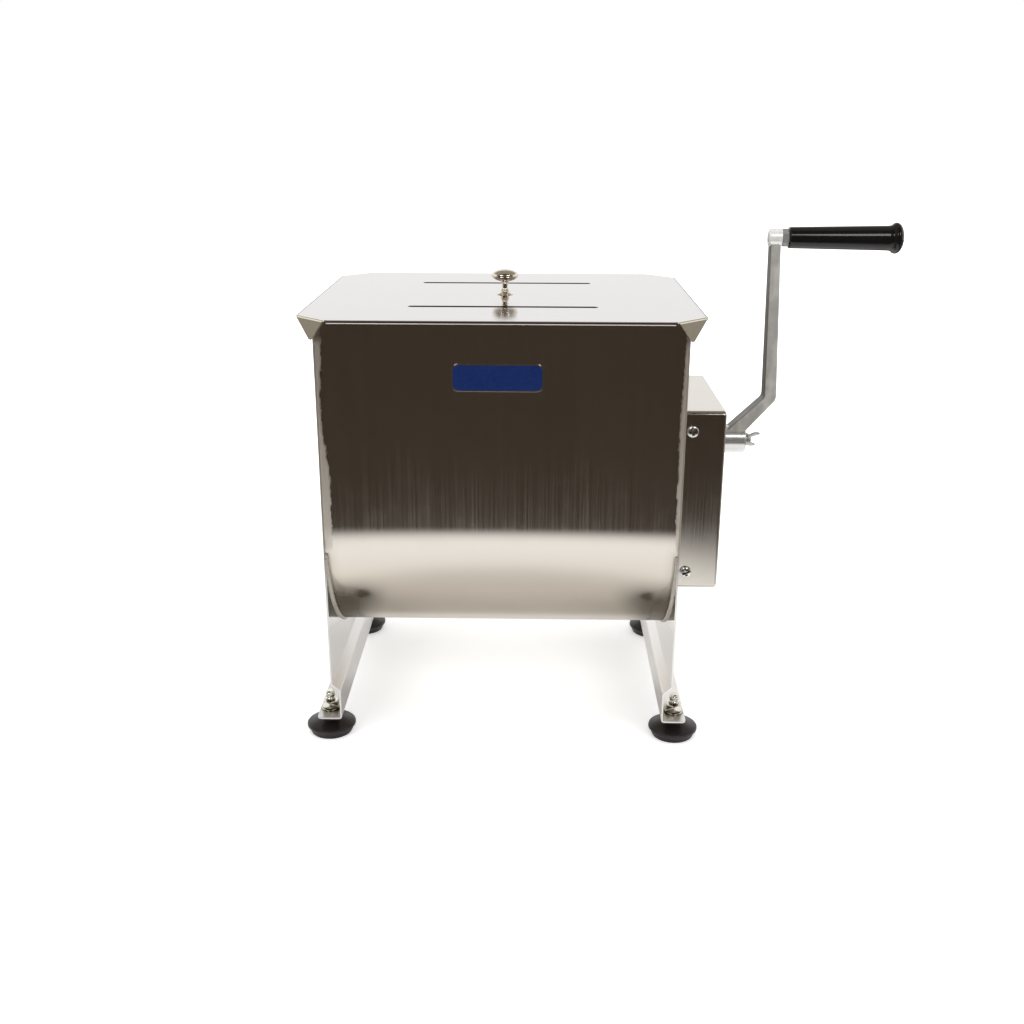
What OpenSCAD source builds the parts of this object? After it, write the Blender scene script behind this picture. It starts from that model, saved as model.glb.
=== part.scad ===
// Hand-cranked meat mixer: a stainless tank between two end plates, a geared crank and a paddle shaft.
// Millimetres. X runs to the crank side, Y to the back, Z up. The origin is on the floor between the feet.

/* [Tank] */
// Width over the outer faces of the two end plates
tank_w = 292; // [240:1:360]
// Depth of the tank and of the end plates, front to back
tank_d = 252; // [220:1:300]
// Height of the tank's rim above the floor
rim_z = 366; // [340:1:420]
// Height of the paddle axis, which is also the centre of the curved bottom
axis_z = 198; // [190:1:220]
// Sheet thickness of the end plates
plate_t = 1.5; // [1:0.1:3]
// Sheet thickness of the trough
trough_t = 1.2; // [0.8:0.1:2]
// Depth of the hem that is folded inwards at the trough's rim
rim_hem_h = 10; // [5:0.5:16]
// Leg of the fillet weld between the trough and each end plate
weld_leg = 2; // [1:0.1:4]

/* [Legs and feet] */
// Height at which the end plates start to step inwards
joggle_z = 53.5; // [48:0.5:60]
// How far the end plates step inwards
joggle_in = 7; // [4:0.5:12]
// Height over which the end plates step inwards
joggle_h = 6.5; // [4:0.5:12]
// Height of the foot flange's lower face, which is also the height of a foot
foot_h = 20; // [16:0.5:26]
// Width of the foot flange, from the leg's inner face outwards
flange_w = 21.5; // [19:0.5:26]
// Distance of a foot's centre from the leg's inner face
foot_in = 12.5; // [11:0.5:14]
// Distance of a foot's centre from the end plate's front or back edge
foot_edge = 18.5; // [14:0.5:30]
// Radius of a foot at its widest
foot_r = 21.1; // [16:0.1:26]
// Radius of a foot where it meets the floor
foot_base_r = 17.6; // [12:0.1:22]
// Height of a foot's widest part
foot_rim_h = 8; // [6:0.5:10]
// Diameter of the foot studs
stud_d = 8; // [6:1:10]
// Height of a stud above its flange
stud_up = 17; // [12:0.5:24]

/* [Lid] */
// Sheet thickness of the lid
lid_t = 1.2; // [0.8:0.1:2]
// Leg of the lid's corner that is folded down
lid_corner = 25.6; // [20:0.1:32]
// Clearance between a folded corner and the tank's corner
corner_gap = 1; // [0.6:0.1:3]
// Depth of a folded corner below the lid's top
corner_h = 17; // [10:0.1:20]
// Width of the hem that is folded under the lid's edges
lid_hem_w = 9; // [5:0.5:10]
// Length of the two slots in the lid
slot_l = 154.5; // [100:0.5:200]
// Width of the two slots in the lid
slot_w = 7; // [5:0.5:10]
// Distance of each slot from the lid's middle
slot_y = 69.5; // [50:0.5:90]
// Height of the knob
knob_h = 21.6; // [18:0.1:30]
// Radius of the knob's head
knob_r = 11.6; // [9:0.1:15]
// Diameter of the knob's screw
knob_screw_d = 4; // [4:0.5:6]

/* [Gears] */
// Gear module
gear_m = 2; // [1.8:0.05:2.2]
// Teeth of the pinion on the crank shaft
pinion_teeth = 12; // [12:1:14]
// Teeth of the gear on the paddle drive shaft
gear_teeth = 29; // [24:1:30]
// Face width of the gears
gear_w = 12; // [10:0.5:15]
// Play taken off each tooth's thickness
tooth_play = 0.3; // [0.2:0.05:0.5]
// Thickness of the two plates that carry the gear shafts
gear_plate_t = 4; // [3:0.5:5]
// Clear distance between the two gear plates
gear_plate_gap = 23; // [21:0.5:26]
// Half width of the gear plates
gear_plate_hw = 42; // [40:0.5:50]
// Radius of the crank shaft
crank_shaft_r = 6; // [5:0.1:7]
// Radius of the paddle drive shaft
drive_shaft_r = 8; // [7:0.1:9]

/* [Gear cover] */
// How far the cover stands out from the end plate
cover_x = 40.6; // [38:0.1:50]
// Half width of the cover, front to back
cover_hw = 73; // [60:0.5:85]
// Height of the cover's lower face
cover_low = 123.5; // [100:0.5:140]
// Height of the cover's upper face
cover_high = 282; // [275:0.5:320]
// Sheet thickness of the cover
cover_t = 1.2; // [0.8:0.1:2]
// Corner radius of the cover
cover_r = 4; // [2:0.5:8]
// Distance of the cover's screws from the end plate
cover_screw_x = 12.7; // [10:0.1:16]
// Distance of the cover's lower screws from its lower face
cover_screw_low = 15.5; // [12:0.5:30]
// Distance of the cover's upper screws from its upper face
cover_screw_high = 16.9; // [12:0.1:30]
// Diameter of the cover's screws
cover_screw_d = 5; // [4:0.5:6]

/* [Crank] */
// Distance from the crank axis to the grip's axis
crank_r = 177.5; // [150:0.5:220]
// Gap between the gear cover and the crank's hub
hub_gap = 2.4; // [2:0.1:8]
// Length of the crank's hub
hub_l = 26.3; // [26:0.1:34]
// Radius of the crank's hub
hub_r = 12.2; // [9.5:0.05:13]
// How far the arm leans outwards between the hub and its elbow
arm_out = 26; // [15:0.5:36]
// Height of the arm's elbow above the crank axis
elbow_up = 39.5; // [34:0.5:60]
// Thickness of the arm along the crank axis at its elbow
arm_t_low = 11.4; // [8:0.1:14]
// Thickness of the arm along the crank axis at its top
arm_t_top = 9; // [6:0.1:12]
// Width of the arm at its elbow
arm_w_low = 16; // [12:0.5:19]
// Width of the arm at its top
arm_w_top = 11; // [8:0.5:14]
// How far the arm leans back inwards between its elbow and its top
arm_lean = 4.9; // [0:0.1:8]
// Radius of the boss at the arm's top
boss_r = 7.5; // [6:0.1:10]
// Length of the boss at the arm's top
boss_l = 11; // [9:0.5:16]
// Radius of the spindle that the grip turns on
spindle_r = 4; // [3:0.1:5]
// Length of the grip without its end cap
grip_l = 85.8; // [70:0.1:110]
// Radius of the grip next to the arm
grip_r_in = 8.9; // [8:0.05:11]
// Radius of the grip next to its end cap
grip_r_out = 10.65; // [10:0.05:13]
// Length of the grip's end cap
cap_l = 10.6; // [9:0.1:16]
// Radius of the grip's end cap
cap_r = 13; // [11:0.1:16]
// Distance from the hub's axis to a wing's tip
wing_r = 15; // [11:0.5:18]
// How far the wings stand out of the hub's end
wing_x = 11.5; // [9:0.5:14]
// Turn of the wings at rest, front wing up
wing_tilt = 38; // [0:1:90]

/* [Paddles] */
// Radius of the paddle shaft
paddle_shaft_r = 12; // [11:0.5:15]
// Number of paddles along the shaft
paddle_count = 4; // [2:1:4]
// Distance between neighbouring paddles along the shaft
paddle_pitch = 66; // [60:1:70]
// Radius of a paddle's stem
stem_r = 6; // [4:0.5:7]
// Reach of the blades from the paddle axis
blade_reach = 117; // [95:1:118]
// Length of a blade along its stem
blade_l = 52; // [35:1:60]
// Width of a blade across its stem
blade_w = 62; // [45:1:70]
// Thickness of a blade
blade_t = 3; // [2:0.5:4]
// Pitch of the blades to the shaft
blade_turn = 35; // [20:1:50]
// Radius of the bolt that carries the shaft's free end
pivot_r = 7; // [6:0.1:8]
// Width of the pivot bush's flange around the bolt
pivot_flange_w = 18; // [15:0.5:24]
// Distance of the pivot bush's screws from the bolt's surface
pivot_screw_out = 12; // [10:0.5:13]

/* [Badge] */
// Width of the blank badge on the front wall
badge_w = 72; // [50:1:100]
// Height of the blank badge
badge_h = 22; // [16:1:30]
// Thickness of the blank badge
badge_t = 0.8; // [0.5:0.1:1.5]
// Height of the badge's middle
badge_z = 321; // [280:1:330]
// Distance of the badge's middle from the tank's middle, to the crank side
badge_x = -2.8; // [-30:0.1:30]

/* [Fits] */
// Gap between the lid and the rim that it lies on
lid_seat = 0.2; // [0.1:0.05:0.5]
// Radial clearance of a turning shaft in its bush
run_fit = 0.05; // [0.02:0.01:0.1]
// Clearance between fixed pieces
close_fit = 0.1; // [0.05:0.01:0.2]
// Gap left beside a turning face
turn_gap = 0.3; // [0.2:0.05:0.6]

/* [Hidden] */
$fn = 64;
eps = 0.01;

// Derived places of the tank
xo = tank_w / 2;
xi = xo - plate_t;
trough_r = tank_d / 2;
bore_r = trough_r - trough_t;
leg_xi = xi - joggle_in;
flange_xe = leg_xi + flange_w;
flange_z = foot_h + plate_t;
foot_x = leg_xi + foot_in;
foot_y = tank_d / 2 - foot_edge;
foot_signs = [[-1, -1], [1, -1], [-1, 1], [1, 1]];

// Derived sizes of the standard fasteners, as shares of their thread
nut_af = stud_d * 1.625;
nut_h = stud_d * 0.8;
washer_r = stud_d;
washer_t = stud_d * 0.2;

// Derived places of the lid
fold_out = corner_gap * sqrt(2) + lid_t * sqrt(2);
lid_hx = (tank_w + fold_out + lid_corner) / 2;
lid_hy = (tank_d + fold_out + lid_corner) / 2;
lid_low = rim_z + lid_seat;
lid_high = lid_low + lid_t;
lid_hem_t = 2 * lid_t + 0.4;
knob_washer_t = 1;
corner_top_w = lid_corner * sqrt(2);
corner_low_w = max(3.4, corner_top_w - 2 * corner_h);

// Derived places of the gear train
gear_rp = gear_m * gear_teeth / 2;
pinion_rp = gear_m * pinion_teeth / 2;
crank_z = axis_z + gear_rp + pinion_rp;
addendum = 0.8 * gear_m;
dedendum = 1.25 * gear_m;
pressure = 20;
bearing_x = xo + gear_plate_t;
gear_plate_x = bearing_x + gear_plate_gap;
gear_plate_out = gear_plate_x + gear_plate_t;
bush_flange_t = 2;
bush_wall = 3;
drive_bush_hole = drive_shaft_r + run_fit + bush_wall + close_fit;
crank_bush_hole = crank_shaft_r + run_fit + bush_wall + close_fit;
gear_x = (bearing_x + gear_plate_x - gear_w) / 2;
spacer_r = 6;
spacer_bolt_d = 6;
spacer_in = 8;
plate_low = axis_z - gear_rp - addendum - 2 * spacer_r - 4;
plate_high = crank_z + pinion_rp + 2 * spacer_r;
plate_bolt_y = gear_plate_hw - spacer_in;
plate_bolt_z = [plate_low + spacer_in, plate_high - spacer_in];
clip_t = 1.2;
key_w = 4;

// Derived places of the cover and the crank
cover_out = xo + cover_x;
hub_x = cover_out + hub_gap;
hub_end = hub_x + hub_l;
hub_wall = 2.6;
shaft_end = hub_end - hub_wall;
grip_z = crank_z + crank_r;
arm_root_in = hub_l * 0.3;
arm_root_out = hub_l * 0.96;
elbow_z = crank_z + elbow_up;
elbow_x = hub_x + hub_l * 0.75 + arm_out;
arm_top_x = elbow_x - arm_lean;
boss_x = arm_top_x - boss_l / 2;
spindle_nut_h = spindle_r * 1.4;
spindle_nut_af = spindle_r * 3.25;
grip_x = boss_x + boss_l + spindle_nut_h + turn_gap;
grip_end = grip_x + grip_l;
spindle_head_r = spindle_r * 1.6;
spindle_head_t = 5;
wing_thread_r = crank_shaft_r * 0.56;
shaft_flat = crank_shaft_r * 0.75;

// Derived places of the paddles
seal_t = 3;
paddle_end = xi - seal_t - turn_gap;
drive_in = 22;
dog_x = paddle_end - drive_in;
pivot_thread_r = pivot_r * 0.72;
pivot_thread_l = 24;
pivot_flange_t = 4;
pivot_head_t = 8;
pivot_washer_t = 1.5;
pivot_face = xo + pivot_flange_t;
pivot_flange_r = pivot_r + pivot_flange_w;
pivot_screw_d = 4;
pivot_screw_circle = pivot_r + pivot_screw_out;
pin_r = 3;
paddle_first = -paddle_pitch * (paddle_count - 1) / 2;

// Turns a drawing in X and Y so that its X lies along Y, its Y along Z and its height along X.
module along_x(x = 0, z = 0) {
    translate([x, 0, z]) rotate([90, 0, 90]) children();
}

// A round bar along X.
module bar_x(r, x0, x1, y = 0, z = 0) {
    translate([x0, y, z]) rotate([0, 90, 0]) cylinder(r = r, h = x1 - x0);
}

// A hexagon bar along X, given across its flats.
module hex_x(af, x0, x1, z = 0) {
    translate([x0, 0, z]) rotate([0, 90, 0]) cylinder(d = af / cos(30), h = x1 - x0, $fn = 6);
}

// A rectangle with round corners, from its lower left corner.
module round_rect(w, h, r) {
    translate([r, 0]) square([w - 2 * r, h]);
    translate([0, r]) square([w, h - 2 * r]);
    for (x = [r, w - r], y = [r, h - r]) translate([x, y]) circle(r);
}

// Repeats its children at the four feet.
module at_feet() {
    for (s = foot_signs) translate([s[0] * foot_x, s[1] * foot_y, 0]) children();
}

// Repeats its children at the four corners of the gear plates.
module at_plate_bolts() {
    for (y = [-plate_bolt_y, plate_bolt_y], z = plate_bolt_z) translate([0, y, z]) children();
}

// A flanged bush along X, whose flange stands on the side that flange_dir names.
module bush(bore, x0, x1, flange_dir, z) {
    outer = bore + bush_wall;
    fx = flange_dir > 0 ? x1 : x0 - bush_flange_t;
    difference() {
        union() {
            bar_x(outer, x0, x1, 0, z);
            bar_x(outer + bush_wall, fx, fx + bush_flange_t, 0, z);
        }
        bar_x(bore, x0 - bush_flange_t - 1, x1 + bush_flange_t + 1, 0, z);
    }
}

// An open retaining ring on a shaft along X.
module clip_ring(r, x, z) {
    difference() {
        bar_x(r + 3, x, x + clip_t, 0, z);
        bar_x(r + run_fit, x - 1, x + clip_t + 1, 0, z);
        translate([x - 1, -r * 0.45, z - r - 4]) cube([clip_t + 2, r * 0.9, r + 4]);
    }
}

// A pan-head screw along Z with its head above the plane z = 0 and a cross recess.
module pan_screw(d, l) {
    head_r = d;
    head_h = d * 0.62;
    recess = d * 0.2;
    difference() {
        union() {
            rotate_extrude() pan_profile(head_r, head_h);
            translate([0, 0, -l]) cylinder(d = d, h = l + eps);
        }
        for (a = [0, 90]) rotate(a) {
            translate([-recess * 2.2, -recess / 2, head_h * 0.45]) cube([recess * 4.4, recess, head_h]);
        }
    }
}

// Half section of a pan head: a straight rim under a flat dome.
module pan_profile(r, h) {
    rim = h * 0.45;
    polygon(concat([[0, 0], [r, 0]],
        [for (a = [0 : 15 : 90]) [r * 0.55 + r * 0.45 * cos(a), rim + (h - rim) * sin(a)]],
        [[0, h]]));
}

// Angle between an involute and its start on the base circle, in degrees, at radius r.
function involute(rb, r) = let (a = acos(min(1, rb / r))) tan(a) * 180 / PI - a;

// Half angle of a tooth at radius r.
function tooth_half(teeth, rp, rb, r) =
    90 / teeth - tooth_play / 2 / rp * 180 / PI + involute(rb, rp) - involute(rb, max(r, rb));

// Outline of a gear whose first tooth points along the angle that turn gives.
module gear_outline(teeth, turn) {
    rp = gear_m * teeth / 2;
    rb = rp * cos(pressure);
    root = rp - dedendum;
    start = max(root, rb);
    tip = rp + addendum;
    steps = 4;
    radii = concat([root], [for (i = [0 : steps]) start + (tip - start) * i / steps]);
    last = len(radii) - 1;
    polygon([for (k = [0 : teeth - 1], side = [-1, 1], i = [0 : last])
        let (r = radii[side < 0 ? i : last - i],
            a = turn + 360 * k / teeth + side * tooth_half(teeth, rp, rb, r))
        r * [cos(a), sin(a)]]);
}

// Cross-section of the trough in Y and Z, with its rims hemmed inwards.
module trough_section() {
    wall_h = rim_z - axis_z - trough_t;
    difference() {
        union() {
            circle(trough_r, $fn = 128);
            translate([-trough_r, 0]) square([2 * trough_r, wall_h]);
        }
        circle(bore_r, $fn = 128);
        translate([-bore_r, 0]) square([2 * bore_r, wall_h + 1]);
    }
    for (s = [-1, 1]) {
        translate([s * bore_r, wall_h]) circle(trough_t);
        translate([s * (bore_r - trough_t / 2) - trough_t / 2, wall_h - rim_hem_h])
            square([trough_t, rim_hem_h]);
    }
}

// Fillet weld round the curved bottom, against the right end plate.
// It stops where it would pass the plate's edges.
module weld_ring() {
    sunk = trough_t / 2;
    skip = acos(trough_r / (trough_r + weld_leg));
    along_x(0, axis_z) rotate([0, 0, 180 + skip]) rotate_extrude(angle = 180 - 2 * skip, $fn = 128)
        polygon([[trough_r - sunk, xi], [trough_r + weld_leg, xi], [trough_r - sunk, xi - weld_leg - sunk]]);
}

module trough() {
    color("silver") {
        along_x(-xi, axis_z) linear_extrude(2 * xi) trough_section();
        weld_ring();
        mirror([1, 0, 0]) weld_ring();
    }
}

// The bent sheet of the right end plate: wall, inward step, leg and foot flange.
module plate_sheet() {
    slope = sqrt(pow(joggle_in, 2) + pow(joggle_h, 2));
    mitre = plate_t * (slope - joggle_h) / joggle_in;
    leg_top = joggle_z - joggle_h;
    difference() {
        translate([0, tank_d / 2, 0]) rotate([90, 0, 0]) linear_extrude(tank_d) polygon([
            [xo, rim_z], [xo, joggle_z], [xo - joggle_in, leg_top], [xo - joggle_in, flange_z],
            [flange_xe, flange_z], [flange_xe, foot_h], [leg_xi, foot_h], [leg_xi, leg_top + mitre],
            [xi, joggle_z + mitre], [xi, rim_z]]);
        at_feet() translate([0, 0, foot_h - 1]) cylinder(d = stud_d + 2 * close_fit, h = plate_t + 2);
    }
}

module end_plate_left() {
    color("silver") difference() {
        mirror([1, 0, 0]) plate_sheet();
        bar_x(pivot_r + run_fit + bush_wall + close_fit, -xo - 1, -xi + 1, 0, axis_z);
        at_pivot_screws() bar_x(pivot_screw_d / 2, -xo - 1, -xi + 1);
    }
}

module end_plate_right() {
    color("silver") difference() {
        plate_sheet();
        bar_x(drive_bush_hole, xi - 1, xo + 1, 0, axis_z);
    }
}

module foot_pads() {
    neck_r = stud_d * 1.1;
    shoulder_h = foot_rim_h + (foot_h - foot_rim_h) * 0.42;
    color("dimgray") at_feet() difference() {
        rotate_extrude() polygon([
            [0, 0], [foot_base_r - 1, 0], [foot_base_r, 1], [foot_r - 0.4, foot_rim_h - 1],
            [foot_r, foot_rim_h], [foot_r - 0.6, foot_rim_h + 1.2], [neck_r + 1, shoulder_h],
            [neck_r, shoulder_h + 1], [neck_r, foot_h], [0, foot_h]]);
        translate([0, 0, foot_h / 3]) cylinder(d = stud_d, h = foot_h);
    }
}

module foot_studs() {
    tip = stud_d / 8;
    top = flange_z + stud_up;
    color("gainsboro") at_feet() rotate_extrude() polygon([[0, foot_h / 3], [stud_d / 2, foot_h / 3],
        [stud_d / 2, top - tip], [stud_d / 2 - tip, top], [0, top]]);
}

module foot_washers() {
    color("gainsboro") at_feet() translate([0, 0, flange_z]) difference() {
        cylinder(r = washer_r, h = washer_t);
        translate([0, 0, -1]) cylinder(d = stud_d + 2 * close_fit, h = washer_t + 2);
    }
}

module foot_nuts() {
    color("gainsboro") at_feet() translate([0, 0, flange_z + washer_t]) difference() {
        cylinder(d = nut_af / cos(30), h = nut_h, $fn = 6);
        translate([0, 0, -1]) cylinder(d = stud_d, h = nut_h + 2);
    }
}

module badge() {
    color("royalblue") translate([badge_x - badge_w / 2, -trough_r, badge_z - badge_h / 2]) rotate([90, 0, 0])
        linear_extrude(badge_t) round_rect(badge_w, badge_h, badge_h / 4);
}

// Outline of the gear plates in Y and Z.
module gear_plate_outline() {
    translate([-gear_plate_hw, plate_low]) round_rect(2 * gear_plate_hw, plate_high - plate_low, spacer_in);
}

module bearing_plate() {
    color("lightgray") difference() {
        along_x(xo) linear_extrude(gear_plate_t) gear_plate_outline();
        bar_x(drive_bush_hole, xo - 1, bearing_x + 1, 0, axis_z);
        bar_x(crank_bush_hole, xo - 1, bearing_x + 1, 0, crank_z);
        at_plate_bolts() bar_x(spacer_bolt_d / 2, xo - 1, bearing_x + 1);
    }
}

module gear_plate() {
    color("lightgray") difference() {
        along_x(gear_plate_x) linear_extrude(gear_plate_t) gear_plate_outline();
        bar_x(drive_bush_hole, gear_plate_x - 1, gear_plate_out + 1, 0, axis_z);
        bar_x(crank_bush_hole, gear_plate_x - 1, gear_plate_out + 1, 0, crank_z);
        at_plate_bolts() bar_x(spacer_bolt_d / 2 + close_fit, gear_plate_x - 1, gear_plate_out + 1);
    }
}

module plate_spacers() {
    color("lightgray") at_plate_bolts() difference() {
        bar_x(spacer_r, bearing_x, gear_plate_x);
        bar_x(spacer_bolt_d / 2 + close_fit, bearing_x - 1, gear_plate_x + 1);
    }
}

module plate_bolts() {
    head = spacer_bolt_d * 0.65;
    color("gainsboro") at_plate_bolts() {
        bar_x(spacer_bolt_d / 2, xo, gear_plate_out + eps);
        hex_x(spacer_bolt_d * 5 / 3, gear_plate_out, gear_plate_out + head);
    }
}

module crank_bush_inner() {
    color("peru") bush(crank_shaft_r + run_fit, xo, bearing_x, 1, crank_z);
}

module crank_bush_outer() {
    color("peru") bush(crank_shaft_r + run_fit, gear_plate_x, gear_plate_out, -1, crank_z);
}

module drive_bush_inner() {
    color("peru") bush(drive_shaft_r + run_fit, xi, bearing_x, 1, axis_z);
}

module drive_bush_outer() {
    color("peru") bush(drive_shaft_r + run_fit, gear_plate_x, gear_plate_out, -1, axis_z);
}

// Repeats its children at the three screws that hold the pivot bush.
module at_pivot_screws() {
    for (a = [90, 210, 330])
        translate([0, pivot_screw_circle * cos(a), axis_z + pivot_screw_circle * sin(a)]) children();
}

module pivot_bush() {
    color("whitesmoke") difference() {
        union() {
            bar_x(pivot_r + run_fit + bush_wall, -pivot_face, -xi, 0, axis_z);
            bar_x(pivot_flange_r, -pivot_face, -xo, 0, axis_z);
        }
        bar_x(pivot_r + run_fit, -pivot_face - 1, -xi + 1, 0, axis_z);
        at_pivot_screws() bar_x(pivot_screw_d / 2 + close_fit, -pivot_face - 1, -xo + 1);
    }
}

module pivot_bush_screws() {
    color("gainsboro") at_pivot_screws() translate([-pivot_face, 0, 0]) rotate([0, -90, 0])
        pan_screw(pivot_screw_d, pivot_flange_t + plate_t);
}

module shaft_seals() {
    color("ivory") for (side = [-1, 1]) {
        r = (side < 0 ? pivot_r : drive_shaft_r) + turn_gap;
        x = side < 0 ? -xi : xi - seal_t;
        difference() {
            bar_x(paddle_shaft_r + 4, x, x + seal_t, 0, axis_z);
            bar_x(r, x - 1, x + seal_t + 1, 0, axis_z);
        }
    }
}

// The cover's outline in Y and Z, drawn in by a distance.
module cover_outline(inset) {
    translate([-cover_hw + inset, cover_low + inset])
        round_rect(2 * (cover_hw - inset), cover_high - cover_low - 2 * inset, max(0.5, cover_r - inset));
}

// Repeats its children at the cover's screws, turned so that +Z points out of the cover.
module at_cover_screws() {
    for (side = [-1, 1], z = [cover_low + cover_screw_low, cover_high - cover_screw_high])
        translate([xo + cover_screw_x, side * cover_hw, z]) rotate([-side * 90, 0, 0]) children();
}

module gear_cover() {
    color("silver") difference() {
        along_x(xo) linear_extrude(cover_x) cover_outline(0);
        along_x(xo - 1) linear_extrude(cover_x - cover_t + 1) cover_outline(cover_t);
        bar_x(crank_shaft_r + 2, cover_out - cover_t - 1, cover_out + 1, 0, crank_z);
        at_cover_screws() translate([0, 0, -cover_t - 1])
            cylinder(d = cover_screw_d + 2 * close_fit, h = cover_t + 2);
    }
}

module cover_brackets() {
    t = 2.5;
    reach = cover_screw_x + cover_screw_d * 1.4;
    foot = 16;
    low = cover_low + cover_t + cover_r;
    high = cover_high - cover_t - cover_r;
    y = cover_hw - cover_t;
    color("lightgray") difference() {
        for (side = [-1, 1]) {
            translate([xo, side * (y - t / 2) - t / 2, low]) cube([reach, t, high - low]);
            translate([xo, side * (y - foot / 2) - foot / 2, low]) cube([t, foot, high - low]);
        }
        at_cover_screws() translate([0, 0, -cover_t - t - 1]) cylinder(d = cover_screw_d, h = t + 2);
    }
}

module cover_screws() {
    color("gainsboro") at_cover_screws() pan_screw(cover_screw_d, cover_t + 5);
}

// One folded corner, standing outside the tank's corner at x > 0, y > 0.
module lid_tab() {
    translate([lid_hx - lid_corner / 2, lid_hy - lid_corner / 2, lid_high])
        rotate([0, 0, -45]) rotate([90, 0, 0])
        linear_extrude(lid_t) polygon([[-corner_top_w / 2, 0], [corner_top_w / 2, 0],
            [corner_low_w / 2, -corner_h], [-corner_low_w / 2, -corner_h]]);
}

// The hem along the lid's edge at y < 0, with a round nose.
module lid_hem(half_l, edge) {
    nose = lid_hem_t / 2;
    translate([-half_l, -edge + nose, lid_high - nose]) rotate([0, 90, 0]) cylinder(r = nose, h = 2 * half_l);
    translate([-half_l, -edge + nose, lid_high - lid_hem_t]) cube([2 * half_l, lid_hem_w - nose, lid_hem_t]);
}

module lid() {
    hx = lid_hx - lid_corner;
    hy = lid_hy - lid_corner;
    nose = lid_hem_t / 2;
    color("gainsboro") difference() {
        union() {
            translate([0, 0, lid_low]) linear_extrude(lid_t) polygon([
                [-lid_hx + nose, -hy], [-hx, -lid_hy + nose], [hx, -lid_hy + nose], [lid_hx - nose, -hy],
                [lid_hx - nose, hy], [hx, lid_hy - nose], [-hx, lid_hy - nose], [-lid_hx + nose, hy]]);
            for (turn = [0, 180]) rotate(turn) lid_hem(hx, lid_hy);
            for (turn = [90, 270]) rotate(turn) lid_hem(hy, lid_hx);
            for (sx = [0, 1], sy = [0, 1]) mirror([sx, 0, 0]) mirror([0, sy, 0]) lid_tab();
        }
        for (s = [-1, 1]) translate([-slot_l / 2, s * slot_y - slot_w / 2, lid_low - 1])
            linear_extrude(lid_t + 2) round_rect(slot_l, slot_w, slot_w / 2 - eps);
        translate([0, 0, lid_low - 1]) cylinder(d = knob_screw_d + 2 * close_fit, h = lid_t + 2);
    }
}

module lid_knob() {
    base_r = knob_r * 0.64;
    neck_r = knob_r * 0.27;
    bead_r = knob_r * 0.33;
    bead_z = knob_h * 0.16;
    bead_h = knob_h * 0.05;
    head_z = knob_h * 0.77;
    head_low = knob_h * 0.27;
    color("tan") translate([0, 0, lid_high]) difference() {
        rotate_extrude() polygon(concat(
            [[0, 0], [base_r, 0], [base_r, knob_h * 0.025], [neck_r * 1.1, knob_h * 0.09]],
            [for (a = [-60 : 20 : 60]) [bead_r - bead_h + bead_h * cos(a), bead_z + bead_h * sin(a)]],
            [[neck_r, knob_h * 0.25], [neck_r, knob_h * 0.48]],
            [for (a = [-70 : 10 : -10]) [knob_r * cos(a), head_z + head_low * sin(a)]],
            [for (a = [0 : 10 : 90]) [knob_r * cos(a), head_z + (knob_h - head_z) * sin(a)]]));
        translate([0, 0, -1]) cylinder(d = knob_screw_d, h = knob_h * 0.5 + 1);
    }
}

module knob_washer() {
    color("gainsboro") translate([0, 0, lid_low - knob_washer_t]) difference() {
        cylinder(r = knob_screw_d * 1.2, h = knob_washer_t);
        translate([0, 0, -1]) cylinder(d = knob_screw_d + 2 * close_fit, h = knob_washer_t + 2);
    }
}

module knob_screw() {
    color("gainsboro") translate([0, 0, lid_low - knob_washer_t]) mirror([0, 0, 1])
        pan_screw(knob_screw_d, lid_t + knob_washer_t + knob_h * 0.45);
}

module crank_shaft() {
    key_x = gear_x + 1;
    color("lightgray") difference() {
        bar_x(crank_shaft_r, xo + turn_gap, shaft_end, 0, crank_z);
        bar_x(wing_thread_r + run_fit, hub_x + hub_l * 0.15, shaft_end + 1, 0, crank_z);
        translate([hub_x, -crank_shaft_r, crank_z + shaft_flat])
            cube([hub_l, 2 * crank_shaft_r, crank_shaft_r]);
        translate([key_x, -key_w / 2, crank_z + crank_shaft_r - key_w / 2]) cube([gear_w - 2, key_w, key_w]);
    }
}

module pinion() {
    color("lightsteelblue") difference() {
        along_x(gear_x, crank_z) linear_extrude(gear_w) gear_outline(pinion_teeth, 90 + 180 / pinion_teeth);
        bar_x(crank_shaft_r + close_fit / 2, gear_x - 1, gear_x + gear_w + 1, 0, crank_z);
        translate([gear_x - 1, -key_w / 2, crank_z])
            cube([gear_w + 2, key_w, crank_shaft_r + key_w / 2 - 0.6]);
    }
}

module pinion_key() {
    color("gainsboro") translate([gear_x + 1, -key_w / 2, crank_z + crank_shaft_r - key_w / 2])
        cube([gear_w - 2, key_w, key_w - 0.6]);
}

module crank_clip() {
    color("gainsboro") clip_ring(crank_shaft_r, gear_plate_out + turn_gap, crank_z);
}

// The arm's shape seen from the front: a slanted foot, an elbow and a tapered upper bar.
module arm_front() {
    polygon([[hub_x + arm_root_in, crank_z + hub_r * 0.7], [elbow_x - arm_t_low / 2, elbow_z],
        [arm_top_x - arm_t_top / 2, grip_z - boss_r * 0.7], [arm_top_x + arm_t_top / 2, grip_z - boss_r * 0.7],
        [elbow_x + arm_t_low / 2, elbow_z + 3], [elbow_x + arm_t_low / 2 - 1.4, elbow_z - 4],
        [hub_x + arm_root_out, crank_z + hub_r * 0.7]]);
}

// The arm's shape seen from the end of the crank axis: a bar that tapers to its top.
module arm_side() {
    polygon([[-arm_w_low / 2, crank_z], [arm_w_low / 2, crank_z], [arm_w_low / 2, elbow_z],
        [arm_w_top / 2, grip_z], [-arm_w_top / 2, grip_z], [-arm_w_low / 2, elbow_z]]);
}

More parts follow.
